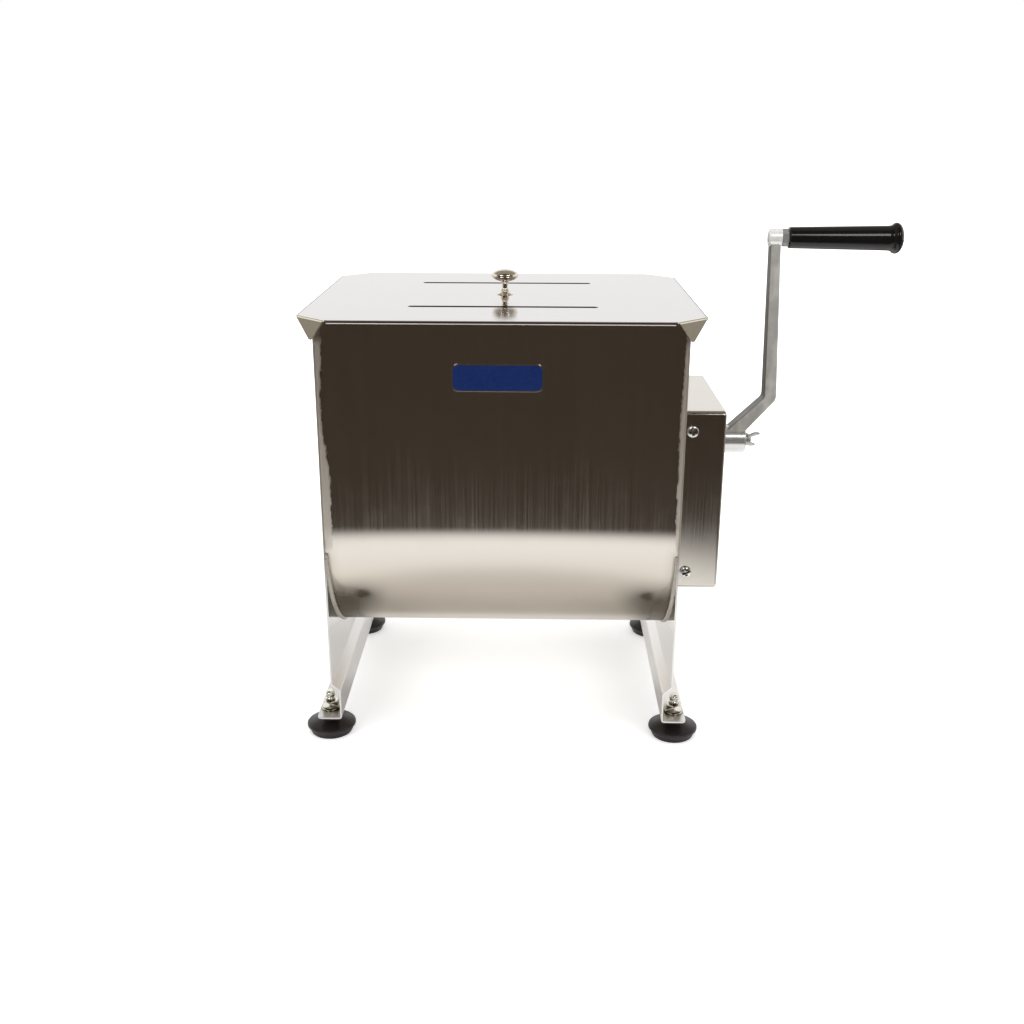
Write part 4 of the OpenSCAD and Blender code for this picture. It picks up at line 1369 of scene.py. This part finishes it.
@dataclass
class Lid:
    """Slotted lid with hemmed edges, folded corners and a knob."""

    palette: Palette
    half_x: float = 160.36
    half_y: float = 140.36
    corner: float = 25.6
    top: float = 367.4
    sheet_t: float = 1.2
    hem_t: float = 2.8
    hem_w: float = 9.0
    hem_short: float = 2.4
    hem_gap: float = 0.05
    hem_edge: float = 0.7
    lap: float = 0.4
    tab_h: float = 17.0
    tab_tip: float = 3.4
    bend_r: float = 1.5
    slot_l: float = 154.5
    slot_w: float = 7.0
    slot_y: float = 69.5
    knob_r: float = 11.6
    knob_h: float = 21.6

    def build(self) -> None:
        """Builds the lid and its knob."""
        hems = bmesh.new()
        self.add_hems(hems)
        parts = [self.panel(), to_object("lid_hems", hems, self.palette.lid)]
        mount_piece(joined("lid_sheet_piece", parts), "lid", "sheet_steel", "lid")
        tabs = bmesh.new()
        for sx in (-1, 1):
            for sy in (-1, 1):
                self.add_tab(tabs, sx, sy)
        mount_piece(to_object("lid_corner_folds", tabs, self.palette.fold), "lid", "sheet_steel", "lid")
        self.knob()

    def panel(self) -> bpy.types.Object:
        """The flat sheet with its two slots.

        Returns:
            The sheet.
        """
        nose = self.hem_t / 2
        fold = math.sqrt(2) * (self.bend_r + self.lap) - nose
        ex, ey = self.half_x - nose, self.half_y - nose
        inx, iny = self.half_x - self.corner - fold, self.half_y - self.corner - fold
        loops = [[(-ex, -iny), (-inx, -ey), (inx, -ey), (ex, -iny),
                  (ex, iny), (inx, ey), (-inx, ey), (-ex, iny)]]
        half_w = self.slot_w / 2
        end = self.slot_l / 2 - half_w
        for y in (-self.slot_y, self.slot_y):
            loops.append(arc((end, y), half_w, -90, 90, 10) + arc((-end, y), half_w, 90, 270, 10))
        curve = bpy.data.curves.new("lid_panel", "CURVE")
        curve.dimensions = "2D"
        curve.fill_mode = "BOTH"
        curve.extrude = self.sheet_t / 2 * MM
        for loop in loops:
            spline = curve.splines.new("POLY")
            spline.points.add(len(loop) - 1)
            for point, (x, y) in zip(spline.points, loop):
                point.co = (x * MM, y * MM, 0.0, 1.0)
            spline.use_cyclic_u = True
        holder = linked("lid_panel", curve)
        data = evaluated(holder)
        bpy.data.objects.remove(holder)
        data.transform(Matrix.Translation((0, 0, (self.top - self.sheet_t / 2) * MM)))
        return wrap("lid_panel", data, self.palette.lid)

    def add_hems(self, mesh: bmesh.types.BMesh) -> None:
        """Adds the round-nosed hems along the four straight edges.

        Args:
            mesh: Mesh that takes the faces.
        """
        nose = self.hem_t / 2
        low, under = self.top - self.hem_t, self.top - self.sheet_t - self.hem_gap
        profile = arc((nose, self.top - nose), nose, 90, 270, 10)
        profile += [(self.hem_w - self.hem_edge, low), (self.hem_w, low + self.hem_edge)]
        profile += [(self.hem_w, under), (nose + self.lap, under), (nose + self.lap, self.top)]
        for edge, across, along_x in ((self.half_y, self.half_x, True), (self.half_x, self.half_y, False)):
            half = across - self.corner - self.hem_short
            for side in (-1, 1):
                outline = []
                for inward, z in profile:
                    place = side * (edge - inward)
                    outline.append(Vector((-half, place, z)) if along_x else Vector((place, -half, z)))
                add_prism(mesh, outline, Vector((2 * half, 0, 0)) if along_x else Vector((0, 2 * half, 0)))

    def add_tab(self, mesh: bmesh.types.BMesh, sx: int, sy: int) -> None:
        """Adds one corner of the sheet, folded down on a small radius.

        Args:
            mesh: Mesh that takes the faces.
            sx: Side of the corner along X.
            sy: Side of the corner along Y.
        """
        middle = Vector((sx * (self.half_x - self.corner / 2), sy * (self.half_y - self.corner / 2),
                         self.top))
        out = Vector((sx, sy, 0)).normalized()
        along = Vector((-sy, sx, 0)).normalized()
        half = self.corner / math.sqrt(2)
        r, t = self.bend_r, self.sheet_t
        bend_steps, flat_steps, least = 6, 4, 0.6
        section = [((-r - self.lap, 0.0), (-r - self.lap, -t))]
        for k in range(bend_steps + 1):
            turn = TURN / 4 * k / bend_steps
            c, s = math.cos(turn), math.sin(turn)
            section.append(((-r + r * s, -r + r * c), (-r + (r - t) * s, -r + (r - t) * c)))
        for k in range(1, flat_steps + 1):
            down = r + (self.tab_h - r) * k / flat_steps
            section.append(((0.0, -down), (-t, -down)))
        rows = []
        for outer, inner in section:
            wide = half + (half - self.tab_tip / 2) * outer[1] / self.tab_h
            row = []
            for (place, z), reach in ((outer, wide), (inner, max(least, wide - t))):
                for side in (-1, 1):
                    row.append(mesh.verts.new(
                        middle + out * place + along * side * reach + Vector((0, 0, z))))
            rows.append((row[0], row[1], row[3], row[2]))
        add_bands(mesh, rows, capped=True)

    def knob(self) -> None:
        """The turned knob."""
        r, h = self.knob_r, self.knob_h
        shape = rounded([(r * 0.62, 0.0), (r * 0.645, h * 0.016), (r * 0.36, h * 0.075), (r * 0.27, h * 0.1)],
                        [0, 0.25, 1.2, 0], 4, closed=False)
        shape += arc((r * 0.245, h * 0.16), r * 0.09, -55, 55, 8)
        shape += [(r * 0.27, h * 0.222), (r * 0.25, h * 0.27), (r * 0.238, h * 0.34), (r * 0.24, h * 0.42),
                  (r * 0.262, h * 0.475)]
        middle, low = h * 0.77, h * 0.27
        for degree in range(-72, 88, 6):
            turn = math.radians(degree)
            shape.append((r * math.cos(turn) ** 1.06,
                          middle + (low if degree < 0 else h - middle) * math.sin(turn)))
        profile = [(0.0, 0.0), *shape, (0.0, h)]
        seat = Vector((0, 0, self.top))
        piece = turned("lid_knob_turned", profile, seat, Axis.Z, 72, self.palette.nickel, 60)
        mount_piece(piece, "lid", "knob_nickel", "lid_knob")


@dataclass
class GearCase:
    """Sheet cover over the gears, with its screws."""

    palette: Palette
    inner_x: float = 146.0
    outer_x: float = 186.6
    half_y: float = 73.0
    low_z: float = 123.5
    high_z: float = 282.0
    corner_r: float = 4.0
    edge_r: float = 2.4
    least_edge: float = 0.4
    least_corner: float = 0.3
    sheet_t: float = 1.2
    hole_r: float = 8.0
    hole_z: float = 239.0
    screw_x: float = 158.7
    screws_at: tuple[Point, Point] = ((139.0, 24.0), (265.1, 8.0))
    head_r: float = 5.0
    head_h: float = 3.1

    def build(self) -> None:
        """Builds the cover and its screws."""
        self.cover()
        self.screws()

    def shell(self, inset: float, steps: int = 5) -> list[tuple[float, list[Point]]]:
        """Loops of one skin of the box, from its open side to its face.

        Args:
            inset: Distance inwards from the outer skin.
            steps: Chords of the rounding round the face.

        Returns:
            The place in X and the outline of each loop.
        """
        corners = [(-self.half_y, self.low_z), (self.half_y, self.low_z), (self.half_y, self.high_z),
                   (-self.half_y, self.high_z)]
        round_x = max(self.least_edge, self.edge_r - inset)
        start = self.outer_x - inset - round_x
        loops = []
        for k in range(steps + 1):
            turn = TURN / 4 * k / steps
            shrink = inset + round_x * (1 - math.cos(turn))
            moved = [(y - math.copysign(shrink, y), z + (shrink if z == self.low_z else -shrink))
                     for y, z in corners]
            radius = max(self.least_corner, self.corner_r - shrink)
            loops.append((start + round_x * math.sin(turn), rounded(moved, [radius] * 4, 6)))
        return [(self.inner_x, loops[0][1]), *loops]

    def cover(self) -> None:
        """The open box of bent sheet."""
        mesh = bmesh.new()
        outer, inner = ([[mesh.verts.new((x, y, z)) for y, z in loop] for x, loop in shell]
                        for shell in (self.shell(0.0), self.shell(self.sheet_t)[::-1]))
        circle = arc((0, self.hole_z), self.hole_r, 0, 360, 48)[:-1]
        hole = [[mesh.verts.new((x, y, z)) for y, z in circle]
                for x in (self.outer_x, self.outer_x - self.sheet_t)]
        for rows in (outer, inner, (inner[-1], outer[0]), hole):
            add_bands(mesh, rows)
        for face in ((outer[-1], hole[0]), (inner[0], hole[1])):
            edges = [mesh.edges.get((row[k], row[(k + 1) % len(row)]))
                     for row in face for k in range(len(row))]
            bmesh.ops.triangle_fill(mesh, edges=edges, use_beauty=True)
        piece = to_object("gear_cover_sheet", mesh, self.palette.cover)
        mount_piece(piece, "frame", "sheet_steel", "gear_cover")

    def screws(self) -> None:
        """Pan-head screws with cross recesses, on the front and back walls."""
        finish = self.palette.screw
        parts = []
        for z, turn in self.screws_at:
            seat = Vector((0, -self.half_y, z))
            parts.append(pan_head("screw_head", self.head_r, self.head_h, seat, Axis.FRONT, turn, finish))
        source = joined("screw_source", parts)
        source.data.transform(Matrix.Translation((0, self.half_y * MM, 0)))
        piece = on_grid("cover_pan_screws", source, (0.0, 2 * self.half_y), 1, TURN / 2, finish)
        piece.data.transform(Matrix.Translation((self.screw_x * MM, 0, 0)))
        mount_piece(piece, "frame", "zinc_steel", "cover_screws")


@dataclass
class Crank:
    """Hub, arm, boss, wing screw, spindle nut and grip."""

    palette: Palette
    axis_z: float = 239.0
    grip_z: float = 416.5
    hub_x: float = 189.0
    hub_end: float = 215.3
    hub_r: float = 12.2
    elbow: Point = (234.725, 278.5)
    top_x: float = 229.825
    low_t: float = 11.4
    top_t: float = 9.0
    low_w: float = 16.0
    top_w: float = 11.0
    arm_start: float = 8.5
    arm_end: float = 4.0
    boss_r: float = 7.5
    boss_x: float = 224.325
    boss_l: float = 11.0
    nut_af: float = 13.0
    nut_l: float = 5.6
    spindle_r: float = 4.0
    grip_x: float = 241.225
    grip_l: float = 85.8
    grip_r_in: float = 8.9
    grip_r_out: float = 10.65
    grip_bore: float = 4.05
    socket_r: float = 6.8
    socket_l: float = 5.2
    cap_l: float = 10.6
    cap_r: float = 13.0
    wing_tilt: float = 38.0
    wing_gap: float = 0.3
    screw_r: float = 3.36
    screw_l: float = 18.0

    def build(self) -> None:
        """Builds every piece of the crank."""
        self.arm()
        self.hub_and_boss()
        self.nut()
        self.wing_screw()
        self.grip()

    def arm(self) -> None:
        """The bent, tapered arm."""
        ex, ez = self.elbow
        start, end = self.axis_z + self.arm_start, self.grip_z - self.arm_end
        inner = [(self.hub_x + 7.9, start), (ex - self.low_t / 2, ez), (self.top_x - self.top_t / 2, end)]
        outer = [(self.hub_end - 1.1, start), (ex + self.low_t / 2 - 0.4, ez - 1.6),
                 (self.top_x + self.top_t / 2, end)]
        left = rounded(inner, [0, 7.0, 0], 8, closed=False)
        right = rounded(outer, [0, 9.0, 0], 8, closed=False)
        mesh = bmesh.new()
        sections = []
        for (x0, z0), (x1, z1) in zip(left, right):
            share = min(1.0, max(0.0, ((z0 + z1) / 2 - ez) / (self.grip_z - ez)))
            half = (self.low_w + (self.top_w - self.low_w) * share) / 2
            corners = ((x0, -half, z0), (x1, -half, z1), (x1, half, z1), (x0, half, z0))
            sections.append([mesh.verts.new(corner) for corner in corners])
        add_bands(mesh, sections, capped=True)
        piece = bevelled(to_object("crank_arm_casting", mesh, self.palette.cast), 1.5, 4, 45)
        mount_piece(piece, "crank", "cast_grey", "crank_arm")

    def hub_and_boss(self) -> None:
        """The polished hub and the boss at the arm's top."""
        r, end = self.hub_r, self.hub_end - self.hub_x
        shape = rounded([(6.1, 0.0), (r, 0.0), (r, end), (5.2, end)], [0, 0.9, 1.1, 0], 4, closed=False)
        profile = [(0.0, 0.6), (6.1, 0.6), *shape, (4.6, end - 0.8), (0.0, end - 0.8)]
        at = Vector((self.hub_x, 0, self.axis_z))
        piece = turned("crank_hub", profile, at, Axis.X, 72, self.palette.polish)
        mount_piece(piece, "crank", "cast_grey", "crank_arm")
        r, end = self.boss_r, self.boss_l
        shape = rounded([(4.4, 0.0), (r, 0.0), (r, end), (5.0, end)], [0, 1.2, 0.8, 0], 4, closed=False)
        profile = [(0.0, 0.7), (3.6, 0.7), *shape, (0.0, end)]
        at = Vector((self.boss_x, 0, self.grip_z))
        piece = turned("crank_boss", profile, at, Axis.X, 56, self.palette.boss)
        mount_piece(piece, "crank", "cast_grey", "crank_arm")

    def nut(self) -> None:
        """The nut between the boss and the grip."""
        at = Vector((self.boss_x + self.boss_l, 0, self.grip_z))
        piece = hex_nut("spindle_hex_nut", self.nut_af, self.nut_l, self.spindle_r, at, Axis.X,
                        self.palette.nut)
        mount_piece(piece, "crank", "zinc_steel", "spindle_nut")

    def wing_screw(self) -> None:
        """The wing screw: a turned collar with two cast wings."""
        at = Vector((self.hub_end + self.wing_gap, 0, self.axis_z))
        collar = rounded([(5.7, 0.0), (5.7, 2.2), (4.2, 4.6), (2.6, 5.6)], [0, 0.6, 1.0, 0], 4, closed=False)
        shank = [(0.0, -self.screw_l), (self.screw_r, -self.screw_l), (self.screw_r, 0.0)]
        parts = [turned("wing_collar", [*shank, *collar, (0.0, 5.8)], at, Axis.X, 40, self.palette.wing)]
        parts += [self.wing(side, at) for side in (-1, 1)]
        mount_piece(joined("wing_screw_cast", parts), "wing_screw", "zinc_steel", "wing_screw")

    def wing(self, side: int, at: Vector) -> bpy.types.Object:
        """One wing of the screw, swept along a bent spine.

        Args:
            side: -1 or 1.
            at: Middle of the collar's foot.

        Returns:
            The wing.
        """
        spine = [(1.6, 2.6, 1.6, 1.5), (2.6, 5.0, 1.9, 1.35), (4.2, 8.0, 2.5, 1.3), (6.2, 10.6, 3.1, 1.3),
                 (8.2, 12.4, 3.3, 1.25), (9.9, 13.2, 2.7, 1.1), (11.2, 13.5, 1.2, 0.8)]
        across = Vector((0.69, -0.72 * side, 0))
        angles = [TURN * k / 16 for k in range(16)]
        mesh = bmesh.new()
        rings = []
        for ahead, out, half_w, half_t in spine:
            middle = Vector((ahead, side * out, 0))
            offsets = [across * half_w * math.cos(a) + Vector((0, 0, half_t * math.sin(a))) for a in angles]
            rings.append([mesh.verts.new(middle + offset) for offset in offsets])
        add_bands(mesh, rings, capped=True)
        tilt = Matrix.Rotation(math.radians(-self.wing_tilt), 4, "X")
        bmesh.ops.transform(mesh, matrix=Matrix.Translation(at) @ tilt, verts=mesh.verts)
        return to_object("wing_half", mesh, self.palette.wing, 50)

    def grip(self) -> None:
        """The tapered grip and its end cap."""
        at = Vector((self.grip_x, 0, self.grip_z))
        end, edge = self.grip_l, self.grip_r_out
        bottom = end - self.socket_l
        corners = [(5.2, 0.0), (self.grip_r_in, 0.0), (edge - 0.25, end - 2.2), (edge, end),
                   (self.socket_r, end)]
        shape = rounded(corners, [0, 0.9, 3.0, 0, 0], 5, closed=False)
        mouth = (self.grip_bore, 0.4)
        profile = [mouth, *shape, (self.socket_r, bottom), (self.grip_bore, bottom), mouth]
        piece = turned("grip_moulding", profile, at, Axis.X, 80, self.palette.grip, 50)
        mount_piece(piece, "grip", "grip_black", "grip_sleeve")
        widest = self.cap_l * 0.42
        flare = rounded(
            [(edge - 0.2, 0.0), (edge + 0.15, 0.9), (self.cap_r - 0.45, 3.0), (self.cap_r, widest)],
            [0, 0.8, 1.6, 0], 5, closed=False)
        dome = [(self.cap_r * math.cos(t) ** 0.8, widest + (self.cap_l - widest) * math.sin(t) ** 0.9)
                for t in [math.radians(5 * k) for k in range(1, 18)]]
        profile = [(0.0, 0.0), *flare, *dome, (0.0, self.cap_l)]
        piece = turned("grip_end_cap", profile, at + Vector((end, 0, 0)), Axis.X, 80, self.palette.grip, 50)
        mount_piece(piece, "grip", "grip_black", "grip_cap")


@dataclass
class Drive:
    """CAD nodes that keep their own shape: shafts, gears, bushes, plates and paddles."""

    palette: Palette

    def build(self) -> None:
        """Dresses every node that stays in view or inside the case."""
        p = self.palette
        for finish, nodes in (
            (p.turned, ("crank_shaft", "drive_shaft", "bearing_plate", "gear_plate", "plate_spacers")),
            (p.paddle, ("paddle_shaft", "paddle_stems", "paddle_blades", "cover_brackets")),
            (p.gear, ("pinion", "drive_gear")),
            (p.bronze, ("crank_bush_inner", "crank_bush_outer", "drive_bush_inner", "drive_bush_outer")),
            (p.nylon, ("pivot_bush", "shaft_seals")),
            (p.zinc, ("plate_bolts", "pivot_bush_screws", "knob_washer", "knob_screw", "pinion_key",
                      "crank_clip", "grip_spindle", "gear_key", "drive_clip", "drive_pin", "pivot_bolt",
                      "pivot_washer")),
        ):
            for node in nodes:
                dress(node, finish)


@dataclass
class Studio:
    """White table and backdrop in a dark room, soft lamps and the camera."""

    table_half: float = 6.0
    table_r: Point = (0.4, 0.637)
    room_r: float = 4.5
    room_z: float = 3.2
    lift_mm: float = 3.0
    front_half: float = 75.0
    side_tone: Colour = (0.3, 0.275, 0.25)
    front_tone: Colour = (0.05, 0.038, 0.029)
    ambient: float = 0.74
    # Limits of the table's tones: middle and width of each step, from the object's middle or along Y. They
    # place the painted shadow and painted light that only reflections show, and a painted pool of light under
    # the middle.
    behind_y: Point = (-0.01, 0.06)
    reflected_light_behind_r: Point = (0.4, 0.2)
    reflected_shadow_r: Point = (0.225, 0.08)
    reflected_light_r: Point = (0.12, 0.1)
    lit_middle_r: Point = (0.1, 0.08)
    white_r: Point = (0.75, 0.7)
    aim: tuple[float, float, float] = (0.0, 0.0, 0.25)
    sensor_mm: float = 36.0
    lens_mm: float = 40.985
    place: tuple[float, float, float] = (0.024456, -1.018084, 0.516949)
    yaw: float = 0.01752
    pitch: float = 0.33054
    roll: float = 0.00297

    def build(self) -> None:
        """Sets up everything around the object."""
        scene = bpy.context.scene
        scene.view_settings.view_transform = "Standard"
        self.world(scene)
        self.floor()
        self.table_edge()
        self.dark_room()
        self.lamps()
        self.camera(scene)

    def seen(self, tree: Tree) -> Sock:
        """1 for rays that show the background: from the camera, in gloss and through glass.

        Args:
            tree: Node tree of the world or of a stage material.

        Returns:
            The value.
        """
        kinds = ("Is Camera Ray", "Is Glossy Ray", "Is Transmission Ray")
        camera, gloss, glass = (tree.node("ShaderNodeLightPath", out=kind) for kind in kinds)
        return camera.or_more(gloss).or_more(glass)

    def world(self, scene: bpy.types.Scene) -> None:
        """A white surround that lights the object at a plain level.

        Args:
            scene: The scene that gets it.
        """
        world = bpy.data.worlds.new("white_surround")
        world.use_nodes = True
        tree = Tree(world.node_tree)
        background = world.node_tree.nodes["Background"]
        inputs = {"Value": self.seen(tree), "To Min": self.ambient, "To Max": 1.0}
        tree.feed(background.inputs["Color"], (1.0, 1.0, 1.0))
        tree.feed(background.inputs["Strength"], tree.node("ShaderNodeMapRange", inputs=inputs))
        scene.world = world

    def away(self, shader: Shader) -> Sock:
        """Distance from the object's middle, in metres, over a stage piece."""
        x, y, _ = shader.axes()
        return (x * x + y * y).root()

    def floor(self) -> None:
        """The white table top, which turns plain white away from the object, with a painted shadow and
        painted light near it that only reflections show, and a painted pool of light under its middle.
        """
        half = self.table_half / MM
        mesh = bmesh.new()
        corners = [(-half, -half, 0), (half, -half, 0), (half, half, 0), (-half, half, 0)]
        mesh.faces.new([mesh.verts.new(corner) for corner in corners])
        shader = Shader("white_table")
        away = self.away(shader)
        behind = shader.axes()[1].above(*self.behind_y)
        camera = shader.node("ShaderNodeLightPath", out="Is Camera Ray")
        seen = self.seen(shader)
        gloss = seen - camera
        colour = shader.mix(shader.noise(3.0), (0.92, 0.92, 0.922), (0.93, 0.93, 0.93))
        # Painted shadow on the floor in front of the object, seen only in reflections.
        reflected_shadow = away.below(*self.reflected_shadow_r) * (1 - behind)
        colour = shader.mix(reflected_shadow * gloss, colour, (0.79, 0.785, 0.79))
        # Painted light on the floor under and behind the object, seen only in reflections.
        under = away.below(*self.reflected_light_r) * 0.05 + behind * away.below(*self.reflected_light_behind_r) * 0.22
        # A painted pool of light under the object's middle, for the camera only; the rest of the lift whitens
        # the table.
        lift = camera * (0.43 + away.below(*self.lit_middle_r) * 0.1)
        glow = lift + seen * away.above(*self.white_r) * 0.5 + gloss * under
        white = shader.mix(glow, (0.0, 0.0, 0.0), (1.0, 1.0, 1.0))
        material = shader.finish(Base_Color=colour, Roughness=0.9, Specular_IOR_Level=0.1,
                                 Emission_Color=white, Emission_Strength=1.0)
        to_object("table_top", mesh, material)

    def unlit(self, name: str) -> Shader:
        """A dark, unlit material for pieces that only show in metal.

        Args:
            name: Name of the material.

        Returns:
            The shader, with its emission fed, darkest towards the front.
        """
        shader = Shader(name)
        _, y, _ = shader.axes()
        front = (0 - y / self.away(shader)).above(0.4, 0.5)
        colour = shader.mix(front, self.side_tone, self.front_tone)
        shader.finish(Base_Color=(0.0, 0.0, 0.0), Roughness=1.0, Specular_IOR_Level=0.0,
                      Emission_Color=colour, Emission_Strength=1.0)
        return shader

    def only_in_gloss(self, piece: bpy.types.Object) -> None:
        """Keeps a stage piece out of every view but reflections.

        Args:
            piece: The stage piece.
        """
        piece.visible_camera = False
        piece.visible_diffuse = False
        piece.visible_transmission = False
        piece.visible_shadow = False

    def table_edge(self) -> None:
        """The dark floor round the table, with a soft edge."""
        shader = self.unlit("dark_floor")
        near, far = self.table_r
        share = self.away(shader).above((near + far) / 2, far - near)
        clear = shader.node("ShaderNodeBsdfTransparent")
        shader.show(shader.node("ShaderNodeMixShader", inputs={0: share, 1: clear, 2: shader.bsdf}))
        profile = [(radius / MM, self.lift_mm) for radius in (near, far, self.room_r)]
        self.only_in_gloss(turned("dark_floor", profile, Vector(), Axis.Z, 96, shader.material))

    def dark_room(self) -> None:
        """The room's front wall and ceiling."""
        wide, high = self.room_r / MM, self.room_z / MM
        front = arc((0, 0), wide, -90 - self.front_half, -90 + self.front_half, 24)
        mesh = bmesh.new()
        foot, head = ([mesh.verts.new((x, y, z)) for x, y in front] for z in (self.lift_mm, high))
        for k in range(len(front) - 1):
            mesh.faces.new((foot[k], foot[k + 1], head[k + 1], head[k]))
        mesh.faces.new([mesh.verts.new((x, y, high)) for x, y in arc((0, 0), wide, 0, 360, 72)[:-1]])
        self.only_in_gloss(to_object("dark_walls", mesh, self.unlit("dark_walls").material))

    def lamps(self) -> None:
        """A soft light from above, and two soft boxes in front that show in the metal."""
        for name, place, size, power, shows in (
            ("top_light", (0.0, 0.0, 2.2), (1.8, 1.4), 16.0, False),
            ("left_box", (-1.15, -1.85, 1.8), (0.9, 0.7), 9.5, True),
            ("right_box", (1.12, -1.85, 1.8), (1.0, 0.7), 10.5, True),
        ):
            light = bpy.data.lights.new(name, "AREA")
            light.shape = "RECTANGLE"
            light.size, light.size_y = size
            light.energy = power
            lamp = linked(name, light)
            lamp.location = place
            lamp.visible_glossy = shows
            lamp.rotation_euler = (Vector(self.aim) - Vector(place)).to_track_quat("-Z", "Y").to_euler()

    def camera(self, scene: bpy.types.Scene) -> None:
        """The photograph's view.

        Args:
            scene: The scene that gets it.
        """
        right = Vector((math.cos(self.yaw), math.sin(self.yaw), 0))
        level = Vector((-math.sin(self.yaw), math.cos(self.yaw), 0))
        up = level * math.sin(self.pitch) + Vector((0, 0, math.cos(self.pitch)))
        ahead = level * math.cos(self.pitch) - Vector((0, 0, math.sin(self.pitch)))
        side = right * math.cos(self.roll) + up * math.sin(self.roll)
        head = up * math.cos(self.roll) - right * math.sin(self.roll)
        data = bpy.data.cameras.new("photo_camera")
        data.sensor_width = self.sensor_mm
        data.lens = self.lens_mm
        data.clip_start = 0.01
        camera = linked("photo_camera", data)
        camera.matrix_world = (Matrix.Translation(self.place)
                               @ Matrix((side, head, -ahead)).transposed().to_4x4())
        scene.camera = camera


def main() -> None:
    """Builds the classes in order."""
    logging.basicConfig(level=logging.INFO, format="%(name)s %(message)s")
    Studio().build()
    palette = Palette()
    for part in (Tank(palette), Feet(palette), Lid(palette),
                 GearCase(palette), Crank(palette), Drive(palette)):
        part.build()


if __name__ == "__main__":
    main()
